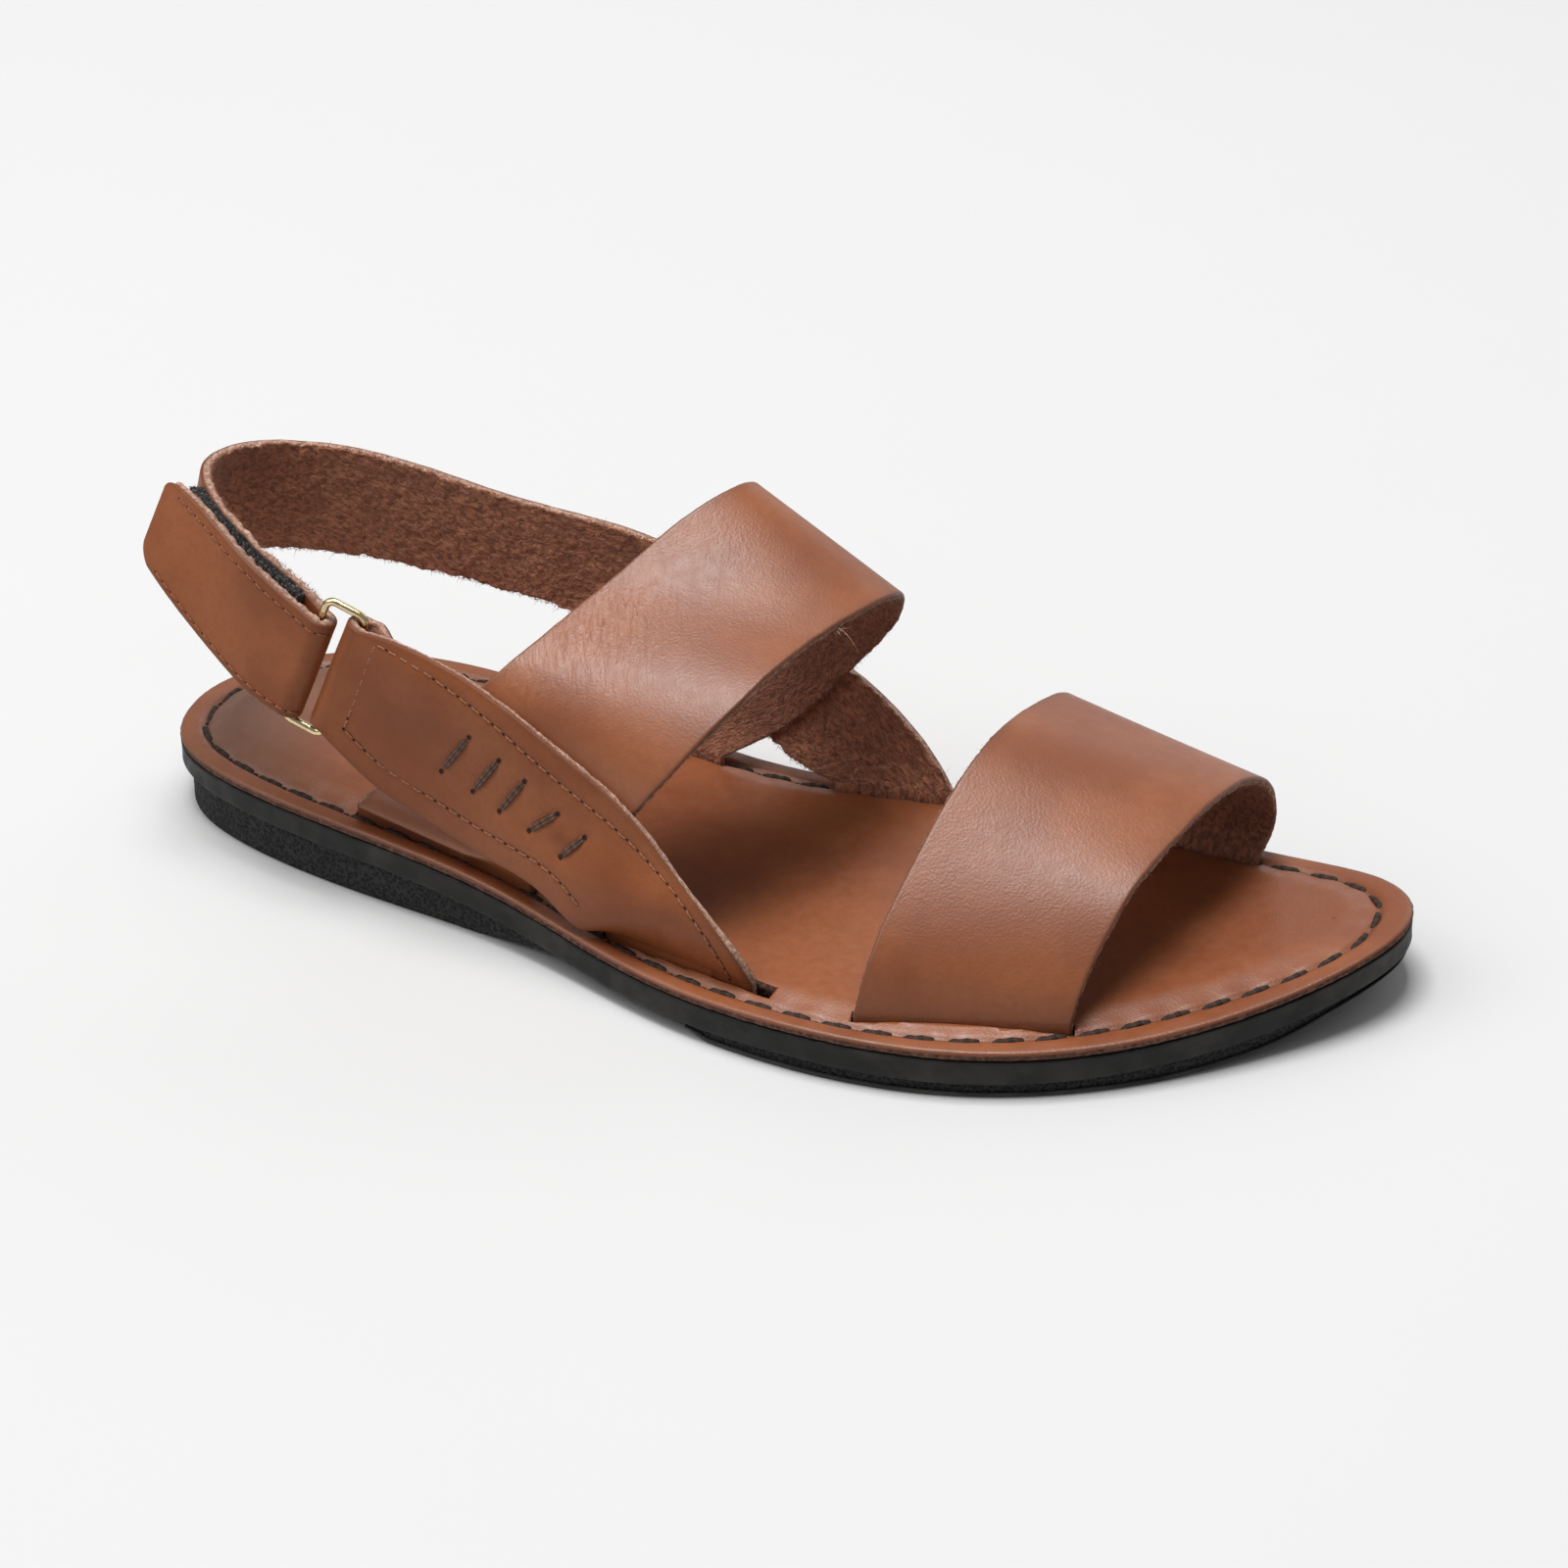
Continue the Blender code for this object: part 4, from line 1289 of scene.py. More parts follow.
@dataclass(frozen=True)
class Fringe:
    """Loose fibres along a raw edge, millimetres."""

    spacing: float
    length: float
    thick: float = 0.07
    spread: float = 0.8
    scatter: float = 0.12
    points: int = 4
    curl: float = 0.7

    def grow(self, draft: MeshDraft, line: Array, out: Array, seed: int) -> None:
        """Adds the fibres.

        Args:
            draft: where they go.
            line: (n, 3) points along the edge.
            out: (n, 3) unit vectors that the fibres mainly follow.
            seed: start of their differences.
        """
        draw = np.random.default_rng(seed)
        reach = reach_of(line)
        bend = np.linspace(0, 1, self.points)
        for _ in range(int(reach[-1] / self.spacing)):
            s = draw.uniform(0, reach[-1])
            root = read(line, reach, s) + draw.normal(0, self.scatter, 3)
            first = unit(read(out, reach, s) + draw.normal(0, self.spread, 3))
            second = unit(first + draw.normal(0, self.spread, 3))
            length = self.length * draw.lognormal(-0.35, 0.55)
            curve = bend[:, None] * first + (bend**2)[:, None] * (second - first) * self.curl
            middle = root + length * curve
            aside = unit(np.cross(first, second + (0.1, 0.2, 0.3)))
            above = np.cross(first, aside)
            thin = self.thick * (1.1 - bend)
            axes = [np.tile(axis, (self.points, 1)) for axis in (aside, above)]
            draft.tube(middle, np.c_[thin, thin] / 2, *axes, 3)


def settle(piece: Object, slot: str, *nodes: str) -> Object:
    """Puts a finished piece on the model.

    Args:
        piece: the piece, in place.
        slot: not used.
        nodes: the model's nodes that it stands for.

    Returns:
        The piece.
    """
    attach(piece, "root")
    if nodes:
        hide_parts(*nodes)
    log.info("%s: %d faces", piece.name, len(piece.data.polygons))
    return piece


@dataclass
class Midsole:
    """Smooth rubber band under the whole insole."""

    bevel: float = 1.1
    bevel_rise: float = 0.8
    waist: float = 0.05
    top_round: float = 0.4
    steps: int = 260

    def build(self) -> MeshDraft:
        """Lofts the band from its underside up."""
        loops = []
        for a in np.radians(np.linspace(90, 0, 5)):
            plan = SOLE.loop(self.bevel * (1 - math.cos(a)), self.steps)
            rise = self.bevel * self.bevel_rise * (1 - math.sin(a))
            loops.append(np.c_[plan, SOLE.underside(plan[:, 0]) + rise])
        for share in (0.3, 0.55, 0.8):
            plan = SOLE.loop(self.waist * math.sin(math.pi * share), self.steps)
            low = SOLE.underside(plan[:, 0])
            loops.append(np.c_[plan, low + share * (SOLE.band_top(plan[:, 0]) - low)])
        for a in np.radians(np.linspace(0, 90, 4)):
            plan = SOLE.loop(self.top_round * (1 - math.cos(a)), self.steps)
            drop = self.top_round * (1 - math.sin(a))
            loops.append(np.c_[plan, SOLE.band_top(plan[:, 0]) - drop])
        return loft(loops, [0] * (len(loops) - 1), lambda p: SOLE.band_top(p[..., 0]))

    def dress(self, draft: MeshDraft) -> None:
        """Gives it its rubber and puts it on the model."""
        rubber = SmoothRubber("smooth_rubber").material()
        settle(draft.make("midsole_band", [rubber]), "smooth_rubber", "midsole")


@dataclass
class HeelWedge:
    """Cellular rubber lift under the heel, flat on the floor and thinned out under the arch."""

    inset: float = 1.9
    foot_round: float = 0.8
    flat_end: float = 84.0
    tip: float = 109.0
    tip_wall: float = 0.8
    steps: int = 230
    tiers: int = 20
    pits: float = 0.16
    pit_size: float = 1.1

    def floor(self, x: Array) -> Array:
        """Height of its underside."""
        tip = SOLE.seat(self.tip) - self.tip_wall
        return tip * ease((x - self.flat_end) / (self.tip - self.flat_end))

    def build(self) -> MeshDraft:
        """Lofts the wedge, its side pitted."""
        last = SOLE.turn_at(self.tip)
        loops = []
        for a in np.radians((90, 45)):
            plan = SOLE.loop(self.inset + self.foot_round * (1 - math.cos(a)), self.steps, 0, last)
            wall = SOLE.seat(plan[:, 0]) - self.floor(plan[:, 0])
            rise = np.minimum(self.foot_round * (1 - math.sin(a)), wall * 0.2)
            loops.append(np.c_[plan, self.floor(plan[:, 0]) + rise])
        for share in np.linspace(0.09, 1, self.tiers):
            plan = SOLE.loop(self.inset, self.steps, 0, last)
            low = self.floor(plan[:, 0])
            rise = share * (SOLE.seat(plan[:, 0]) - low)
            points = np.c_[plan, low + rise]
            shy = SOLE.loop(self.inset + 1, self.steps, 0, last) - plan
            points[:, :2] += shy * (self.pits * np.abs(rough(points, self.pit_size)))[:, None]
            loops.append(points)
        return loft(loops, [0] * (len(loops) - 1), lambda p: SOLE.seat(p[..., 0]))

    def dress(self, draft: MeshDraft) -> None:
        """Gives it its rubber and puts it on the model."""
        rubber = CellularRubber("cellular_rubber").material()
        settle(draft.make("heel_lift", [rubber]), "cellular_rubber", "heel_wedge")


@dataclass
class ForefootTread:
    """Thin textured rubber layer under the ball and toes, with a smooth lip round its foot."""

    start: float = 141.0
    ramp: float = 6.0
    inset: float = 1.5
    lip_inset: float = 0.7
    lip: float = 0.9
    lip_share: float = 0.45
    wall: float = 3.4
    toe_wall: float = 0.9
    taper: float = 244.0
    thin: float = 0.8
    steps: int = 260
    tiers: int = 7
    pits: float = 0.12
    pit_size: float = 0.9

    def floor(self, x: Array) -> Array:
        """Height of its underside."""
        top = SOLE.seat(x)
        edge = (top - self.thin) * (1 - ease((x - self.start) / self.ramp))
        near_toe = ease((x - self.taper) / (SOLE.toe_end - self.taper))
        wall = self.wall + (self.toe_wall - self.wall) * near_toe
        return np.maximum(np.maximum(top - wall, 0), edge)

    def build(self) -> MeshDraft:
        """Lofts the tread: its foot, the lip and the textured side over it."""
        first = SOLE.turn_at(self.start)
        loops = []
        for inset, share in ((0.45, 0.0), (0.15, 0.18), (0.0, 0.5), (0.12, 0.85), (0.4, 1.0)):
            plan = SOLE.loop(self.lip_inset + inset, self.steps, first)
            low = self.floor(plan[:, 0])
            lip = np.minimum(self.lip, (SOLE.seat(plan[:, 0]) - low) * self.lip_share)
            loops.append(np.c_[plan, low + lip * share])
        smooth = len(loops)
        for share in np.linspace(0.05, 1, self.tiers):
            plan = SOLE.loop(self.inset, self.steps, first)
            low = self.floor(plan[:, 0])
            top = SOLE.seat(plan[:, 0])
            foot = low + np.minimum(self.lip, (top - low) * self.lip_share)
            points = np.c_[plan, foot + share * (top - foot)]
            shy = SOLE.loop(self.inset + 1, self.steps, first) - plan
            points[:, :2] += shy * (self.pits * np.abs(rough(points, self.pit_size)))[:, None]
            loops.append(points)
        marks = [0] * (smooth - 1) + [1] * (len(loops) - smooth)
        return loft(loops, marks, lambda p: SOLE.seat(p[..., 0]))

    def dress(self, draft: MeshDraft) -> None:
        """Gives it its two rubbers and puts it on the model."""
        lip = SmoothRubber("lip_rubber", (0.045, 0.045, 0.044), (0.085, 0.083, 0.080)).material()
        tone, pit = (0.040, 0.040, 0.041), (0.006, 0.006, 0.006)
        side = CellularRubber("tread_rubber", 0.7, tone, pit, 0.45).material()
        settle(draft.make("forefoot_layer", [lip, side]), "tread_rubber", "forefoot_tread")


@dataclass
class Insole:
    """Leather insole: cut edge, flat rim, sunk stitch line and slightly padded middle."""

    stitch_inset: float = 4.9
    groove: float = 0.75
    groove_half: float = 0.85
    puff: float = 1.45
    puff_width: float = 6.0
    pucker: float = 0.13
    edge_round: float = 0.9
    edge_rough: float = 0.16
    uneven: float = 0.05
    uneven_size: float = 6.0
    steps: int = 340
    slot_clearance: float = 0.6
    # The heel patch is partly wear and partly painted shade of the heel strap and tab.
    heel_wear_and_shade: float = 0.75
    # Dark band along the outer side of the rim: partly stain, partly painted shadow of the outer wing.
    side_stain_and_shade: float = 0.34
    stain_and_shade_at: float = 105.0
    stain_and_shade_half: float = 42.0
    wear_and_shade_end: float = 70.0
    stitches: Stitching = Stitching(8.4, 7.4, 1.3, 0.8, 0.75, 0.34, 0.12, 0.5, Line.SADDLE)
    insets: tuple[float, ...] = (
        0.0, 0.1, 0.25, 0.5, 0.9, 1.6, 2.4, 3.2, 3.7, 4.0, 4.25, 4.5, 4.7,
        4.9, 5.1, 5.3, 5.55, 5.8, 6.1, 6.6, 7.2, 8.0, 9.0, 10.2, 11.6, 13.2,
    )

    def ring(self, inset: float) -> Array:
        """Plan of a loop, stretched to the seam's line up to the stitches and moved with it beyond them."""
        turn = np.linspace(SOLE.first_turn, SOLE.last_turn, self.steps)
        sides = sides_at(SEAM_INSET, turn)
        seam = np.r_[sides[:, 0], sides[::-1, 1]]
        if inset < self.stitch_inset:
            return SOLE.loop(inset * seam / self.stitch_inset, self.steps)
        return SOLE.loop(inset + seam - self.stitch_inset, self.steps)

    def rise(self, inset: float, along: Array) -> Array:
        """Height over the rim's level at a distance inside the edge and distances along the stitch line."""
        wave = np.cos(2 * math.pi * along / self.stitches.pitch)
        off = inset - self.stitch_inset
        sunk = self.groove * bell(off, self.groove_half)
        up = self.puff * float(ease((off - 0.5) / self.puff_width))
        pull = self.pucker * (bell(off - 1.7, 1.5) - 0.4 * bell(off + 1.3, 0.8))
        drop = float(corner_round(np.array(inset), self.edge_round))
        return up - drop - sunk * (1 + 0.12 * wave) - pull * wave

    def build(self, ends: Sequence[tuple[Array, float, float]]) -> tuple[MeshDraft, list[MeshDraft], Array]:
        """Lofts the insole.

        Args:
            ends: a row of points, a wall and a spare length for each strap end that stands in it.

        Returns:
            The insole, a cutter for each slot, and the stitch line.
        """
        seam = self.ring(self.stitch_inset)
        along = reach_of(seam)
        whole = along[-1] + np.linalg.norm(seam[0] - seam[-1])
        along = along * round(whole / self.stitches.pitch) * self.stitches.pitch / whole
        # The cut edge, then the top from the edge inwards
        loops = []
        for inset, height in ((0.5, 0.0), (0.15, 0.1), (0.0, 0.4), (-0.06, 0.8), (0.0, 1.15)):
            plan = SOLE.loop(inset, self.steps)
            points = np.c_[plan, SOLE.band_top(plan[:, 0]) + SOLE.gap + height]
            shy = SOLE.loop(inset + 1, self.steps) - plan
            points[:, :2] += shy * (self.edge_rough * rough(points, 1.3))[:, None]
            loops.append(points)
        wall = len(loops)
        for inset in self.insets:
            plan = self.ring(inset)
            points = np.c_[plan, SOLE.rim_top(plan[:, 0]) + self.rise(inset, along)]
            points[:, 2] += self.uneven * rough(points, self.uneven_size)
            loops.append(points)

        def crown(p: Array) -> Array:
            """Height of the padded middle."""
            return SOLE.rim_top(p[..., 0]) + self.puff + self.uneven * rough(p, self.uneven_size)

        marks = [1] * wall + [0] * (len(self.insets) - 1)
        draft = loft(loops, marks, crown)
        # The dark edge, the painted shade in the stitch groove, the heel patch (wear and painted shade) and
        # the outer side (stain and painted shadow of the wing)
        rim = np.zeros(draft.count)
        ring = 2 * self.steps
        for k, inset in enumerate(self.insets):
            # Darker along the stitch line: painted shade in its groove.
            dark = 0.8 * bell(inset - self.stitch_inset, 0.55)
            rim[(wall + k) * ring : (wall + k + 1) * ring] = max(math.exp(-inset / 0.5), dark)
        placed = np.concatenate(draft.points)
        order = np.arange(draft.count)
        inside = order >= (wall + self.insets.index(self.stitch_inset)) * ring
        # Heel patch share: partly wear, partly painted shade of the heel strap and tab.
        worn = self.wear_and_shade(placed[:, 0])
        worn = np.where(inside, worn, 0.3 * worn)
        # Outer side's dark band: partly stain, partly painted shadow of the outer wing.
        side = bell(placed[:, 0] - self.stain_and_shade_at, self.stain_and_shade_half) * (order % ring < self.steps)
        rim = np.where(inside, rim, np.maximum(rim, self.side_stain_and_shade * side))
        draft.values.update(rim=[rim], worn=[worn])
        cutters = [self._slot(row, thick, spare) for row, thick, spare in ends]
        height = SOLE.rim_top(seam[:, 0]) - self.groove
        return draft, cutters, np.c_[seam, height]

    def wear_and_shade(self, x: Array) -> Array:
        """Share of the darker heel patch at places along the sole: partly wear, partly painted shade of the
        heel strap and tab.
        """
        return self.heel_wear_and_shade * ease((self.wear_and_shade_end - x) / self.wear_and_shade_end)

    def heal(self, mesh: bpy.types.Mesh) -> None:
        """Gives the points that the slots added the heel patch's share of their place, which is partly wear
        and partly painted shade.
        """
        share = mesh.attributes["worn"].data
        for vertex in mesh.vertices:
            if share[vertex.index].value == 0:
                share[vertex.index].value = float(self.wear_and_shade(vertex.co.x / MILLIMETRE + ORIGIN[0]))

    def _slot(self, row: Array, wall: float, spare: float) -> MeshDraft:
        """A prism round a strap's end, longer by the spare length at its front."""
        line = np.array(row[:, :2])
        keep = np.linspace(0, len(line) - 1, 12).round().astype(int)
        line = line[keep]
        ahead = unit(np.gradient(line, axis=0))
        front = 0 if line[0, 0] > line[-1, 0] else -1
        line[0] -= ahead[0] * self.slot_clearance
        line[-1] += ahead[-1] * self.slot_clearance
        line[front] += ahead[front] * spare * (1 if front else -1)
        aside = np.c_[-ahead[:, 1], ahead[:, 0]] * (wall / 2 + self.slot_clearance * 0.6)
        plan = np.concatenate([line - aside, (line + aside)[::-1]])
        draft = MeshDraft()
        index = draft.add(np.stack([np.c_[plan, np.full(len(plan), z)] for z in (0.0, 40.0)]))
        draft.sheet(index, 1, wrap=True)
        half = len(line)
        for level in index:
            draft.sheet(np.stack([level[:half], level[half:][::-1]]), 1)
        return draft

    def dress(self, made: tuple[MeshDraft, list[MeshDraft], Array], wardrobe: Wardrobe) -> None:
        """Cuts the slots, sews the edge and puts it all on the model."""
        draft, cutters, seam = made
        finishes = [wardrobe.insole, wardrobe.rim_edge]
        piece = draft.make("insole_board", finishes)
        for number, cutter in enumerate(cutters):
            tool = cutter.make(f"slot_{number}", finishes)
            cut = piece.modifiers.new(tool.name, "BOOLEAN")
            cut.operation = "DIFFERENCE"
            cut.object = tool
            cut.solver = "EXACT"
            seen = piece.evaluated_get(bpy.context.evaluated_depsgraph_get())
            mesh = bpy.data.meshes.new_from_object(seen)
            piece.modifiers.clear()
            piece.data = mesh
            bpy.data.objects.remove(tool)
        self.heal(piece.data)
        settle(piece, "insole_leather", "insole")

        thread = MeshDraft()
        holes = MeshDraft()
        line = np.concatenate([seam, seam[:1]])
        up = np.tile((0.0, 0.0, 1.0), (len(line), 1))
        self.stitches.sew(thread, holes, line, up, 11)
        settle(thread.make("insole_stitches", [wardrobe.waxed_thread]), "insole_leather")
        settle(holes.make("insole_stitch_holes", [wardrobe.pinhole]), "insole_leather")


@dataclass
class CrossStrap:
    """A strap that crosses the foot between two slots of the insole."""

    name: str
    node: str
    slot: str
    band: LeatherBand
    wall: float = 1.8
    width: float = 43.0
    rows: int = 260
    lanes: int = 44
    foot: float = 0.5
    uneven: float = 0.05
    uneven_size: float = 26.0
    fringe: Fringe = Fringe(0.16, 0.7, 0.09)

    def sheet(self) -> Sheet:
        """Its middle surface, ends in the slots."""
        v = edge_lanes(self.width, self.lanes)
        t = np.repeat(np.linspace(0, 1, self.rows)[:, None], len(v), axis=1)
        r = np.repeat(v[None], self.rows, axis=0)
        grid = self.band.at(r, t)
        grid = np.concatenate([tucked(grid[0])[None], grid, tucked(grid[-1])[None]])
        return Sheet(grid, v, -1.0)

    def relief(self, along: Array, across: Array) -> Array:
        """Slight unevenness of the leather."""
        where = np.stack([along, across, np.full_like(along, 3.1)], -1)
        return self.uneven * rough(where, self.uneven_size, 1)

    def crease(self, along: Array, across: Array) -> Array:
        """A trace of fine creases, away from the rear edge and the outer slot."""
        return 0.05 * ease((across - 4) / 10) * ease((along - 10) / 20)

    def stain(self, along: Array, across: Array) -> Array:
        """Dark burnish where the strap stands in its slots."""
        foot = np.minimum(along, along[-1] - along) - 4
        return self.foot * np.exp(-np.clip(foot, 0, None) / 5)

    def dress(self, sheet: Sheet, wardrobe: Wardrobe, grain: Material) -> None:
        """Thickens it, grows the fibres of its raw edges and puts it on the model."""
        finishes = [grain, wardrobe.edge, wardrobe.flesh]
        skin = StrapSkin(self.wall, ragged=0.35, fray=0.16)
        made = skin.mesh(self.name, sheet, finishes, self.relief, self.crease, self.stain)
        settle(made, self.slot, self.node)
        fibres = MeshDraft()
        for lane, seed in ((-1, 3), (0, 5)):
            line = sheet.mid[:, lane] - sheet.normal[:, lane] * self.wall * 0.46
            out = unit(sheet.mid[:, lane] - sheet.mid[:, lane // 2 + 20 * (lane == 0)])
            self.fringe.grow(fibres, line, unit(out - 0.7 * sheet.normal[:, lane]), seed)
        settle(fibres.make(f"{self.name}_fibres", [wardrobe.edge]), self.slot)


@dataclass
class InstepStrap(CrossStrap):
    """The strap over the instep: creased at its outer rear, rolled at its outer foot, with a loose tuft."""

    crease_along: float = 72.0
    crease_across: float = 7.0
    crease_long: float = 20.0
    crease_wide: float = 14.0
    roll: float = 2.2
    roll_at: float = 9.0
    roll_half: float = 3.0
    roll_end: float = 40.0
    roll_fade: float = 14.0
    tuft_along: float = 100.9
    tuft: Fringe = Fringe(0.12, 2.6, 0.24, 0.45)

    def relief(self, along: Array, across: Array) -> Array:
        """Slight unevenness, and the soft roll of its outer foot over the insole's rim."""
        fade = ease((self.roll_end - across) / self.roll_fade)
        roll = bell(along - self.roll_at, self.roll_half) * fade
        return super().relief(along, across) + self.roll * roll

    def crease(self, along: Array, across: Array) -> Array:
        """Share of fine creases, most over the strap's outer rear part."""
        a = (along - self.crease_along) / self.crease_long
        b = (across - self.crease_across) / self.crease_wide
        return 0.05 + 0.75 * np.exp(-(a * a + b * b))

    def dress(self, sheet: Sheet, wardrobe: Wardrobe, grain: Material) -> None:
        """Dresses it as a cross strap and adds the loose tuft at its front edge."""
        super().dress(sheet, wardrobe, grain)
        loose = MeshDraft()
        at = np.abs(sheet.along - self.tuft_along) < 1.2
        line = sheet.mid[at, -1] - sheet.normal[at, -1] * self.wall * 0.4
        out = sheet.mid[at, -1] - sheet.mid[at, -12]
        self.tuft.grow(loose, line, unit(out), 17)
        settle(loose.make("instep_tuft", [wardrobe.heel_edge]), self.slot)


class Seam(NamedTuple):
    """A point of a sewn line on the outer wing: distance ahead of the ring's fold, and in from the edge."""

    ahead: float
    inset: float


TOP_SEAM = (
    Seam(5.5, 1.7),
    Seam(19, 3.3),
    Seam(32, 4.2),
    Seam(47, 4.8),
    Seam(60, 4.4),
    Seam(74, 3.2),
    Seam(86, 4.4),
    Seam(91, 5.0),
)
LOW_SEAM = (
    Seam(4.4, 5.5),
    Seam(17, 6.0),
    Seam(30, 6.9),
    Seam(43, 7.4),
    Seam(64, 5.9),
    Seam(72, 5.0),
)


class Bar(NamedTuple):
    """A waxed bar on the outer wing: distances ahead of the ring's fold and down from the top edge."""

    low_along: float
    low_down: float
    top_along: float
    top_down: float

    def line(self, count: int) -> tuple[Array, Array]:
        """Distances ahead and down along the bar, from its low end."""
        ahead = np.linspace(self.low_along, self.top_along, count)
        return ahead, np.linspace(self.low_down, self.top_down, count)

    def away(self, ahead: Array, down: Array) -> Array:
        """Distance of places on the wing from the bar."""
        run = np.array([self.top_along - self.low_along, self.top_down - self.low_down])
        x = ahead - self.low_along
        y = down - self.low_down
        share = np.clip((x * run[0] + y * run[1]) / (run @ run), 0, 1)
        return np.hypot(x - share * run[0], y - share * run[1])


TALLY = (
    Bar(27.0, 22.0, 29.8, 10.4),
    Bar(34.9, 20.8, 37.2, 10.2),
    Bar(42.0, 20.3, 43.5, 10.0),
    Bar(49.9, 19.4, 52.3, 11.1),
    Bar(59.4, 19.9, 59.4, 11.4),
)


@dataclass
class OuterWing:
    """Lined wing on the outer side, its end turned round the ring's front bar and sewn down."""

    wall: float = 2.2
    end_width: float = 25.2
    return_length: float = 9.0
    return_shy: float = 0.12
    bar_reach: float = 2.0
    width: float = 26.0
    slot_spare: float = 4.0
    uneven: float = 0.14
    uneven_size: float = 18.0
    rows: int = 250
    lanes: int = 56
    fine: Stitching = Stitching(2.9, 2.2, 0.38, 0.26, 0.3, 0.0, 0.05, 0.27)
    bars: Stitching = Stitching(12.0, 11.4, 0.66, 0.52, 0.7, 0.0, 0.0, 0.0)
    bar_half: float = 0.3
    bar_sink: float = 0.3
    bar_sink_half: float = 1.3
    bar_hole: Stitching = Stitching(12.0, 0.2, 0.1, 0.1, 0.7, 0.0, 0.0, 0.5)
    seam_depth: float = 0.16
    seam_half: float = 0.7

    def sheet(self) -> tuple[Sheet, int]:
        """Its middle surface, and the row where the outer run starts."""
        v = edge_lanes(self.width, self.lanes)
        angles = np.linspace(0, -180, FOLD_STEPS)
        turn = RING.fold(RING.bar_spacing, RING.wing_shift, self.end_width, self.wall, v, angles)
        run = resample(turn[-1:] + wing_rows(OUTER_WING, v), self.rows)
        _, _, _, out = RING.axes()
        step = np.linalg.norm((run[1] - run[0])[len(v) // 2])
        radius = RING.wire + RING.clearance + self.wall / 2
        close = self.wall + 0.1
        back = []
        for i in range(int(self.return_length / step), 0, -1):
            near = 1 - ease((i * step - self.bar_reach) / (self.return_length - self.bar_reach))
            shy = 1 - self.return_shy * (1 - near)
            row = run[i].mean(axis=0) + (run[i] - run[i].mean(axis=0)) * shy
            back.append(row - out * (close + (2 * radius - close) * near))
        grid = np.concatenate([np.array(back + turn[:-1]), run, tucked(run[-1])[None]])
        return Sheet(grid, v, 1.0), len(back) + len(turn) - 1

    def dress(self, sheet: Sheet, first: int, wardrobe: Wardrobe) -> None:
        """Thickens it, sews its edges and the waxed bars, and puts it on the model."""
        finishes = [wardrobe.wing, wardrobe.heel_edge, wardrobe.flesh]
        skin = StrapSkin(self.wall, seam=0.16)
        start = sheet.along[first]
        seams = self.seams(sheet, start)

        def relief(along: Array, across: Array) -> Array:
            """Slight unevenness of the leather, sunk along the seams and under the bars."""
            where = np.stack([along, across, np.full_like(along, 9.7)], -1)
            move = self.uneven * rough(where, self.uneven_size, 2)
            for s, a in seams:
                off = across - np.interp(along, s, a)
                ends = ease((along - s[0] + 1) / 2) * ease((s[-1] + 1 - along) / 2)
                move = move - self.seam_depth * ends * bell(off, self.seam_half)
            down = sheet.width[:, None] - across
            for bar in TALLY:
                move = move - self.bar_sink * bell(bar.away(along - start, down), self.bar_sink_half)
            return move

        def stain(along: Array, across: Array) -> Array:
            """Burnish by the ring, along the seams, and a smudge at the last bar."""
            dark = 0.15 * np.exp(-np.clip(along - start, 0, None) / 7)
            for s, a in seams:
                off = across - np.interp(along, s, a)
                sewn = (along > s[0]) * (along < s[-1])
                dark = np.maximum(dark, 0.3 * sewn * bell(off, 0.6))
            last = TALLY[-1]
            down = sheet.width[:, None] - across
            spot = np.hypot(along - start - last.low_along + 3.4, down - last.low_down + 3.6)
            return np.maximum(dark, 0.55 * bell(spot, 2.0))

        made = skin.mesh("outer_wing", sheet, finishes, relief, stain=stain)
        settle(made, "strap_leather", "rear_straps")
        thread = MeshDraft()
        holes = MeshDraft()
        face = self.wall / 2 - self.seam_depth + 0.05
        cross = np.linspace(seams[1][1][0], seams[0][1][0], 60)
        lines = [*seams, (np.linspace(seams[1][0][0], seams[0][0][0], 60), cross)]
        for seed, (s, a) in enumerate(lines):
            line, up = sheet.place(s, a, face)
            self.fine.sew(thread, holes, line, up, 20 + seed)
        settle(thread.make("wing_stitches", [wardrobe.fine_thread]), "strap_leather")
        bars = MeshDraft()
        for bar in TALLY:
            s, a = bar.line(30)
            line, up = sheet.place(start + s, -a, self.wall / 2 - 0.12)
            aside = unit(np.cross(up, np.gradient(line, axis=0)))
            for side in (-1, 1):
                self.bars.sew(bars, holes, line + side * self.bar_half * aside, up, 31)
            self.bar_hole.sew(bars, holes, line, up, 32)
        settle(bars.make("wing_waxed_bars", [wardrobe.bar_thread]), "strap_leather")
        settle(holes.make("wing_stitch_holes", [wardrobe.pinhole]), "strap_leather")

    def seams(self, sheet: Sheet, start: float) -> list[tuple[Array, Array]]:
        """The top and the low seam, as distances along the wing and from its low edge."""
        found = []
        for rows, from_top in ((TOP_SEAM, True), (LOW_SEAM, False)):
            ahead = np.linspace(rows[0].ahead, rows[-1].ahead, 260)
            inset = spline([r.ahead for r in rows], [r.inset for r in rows], ahead)[:, 0]
            width = np.interp(start + ahead, sheet.along, sheet.width)
            found.append((start + ahead, width - inset if from_top else inset))
        return found


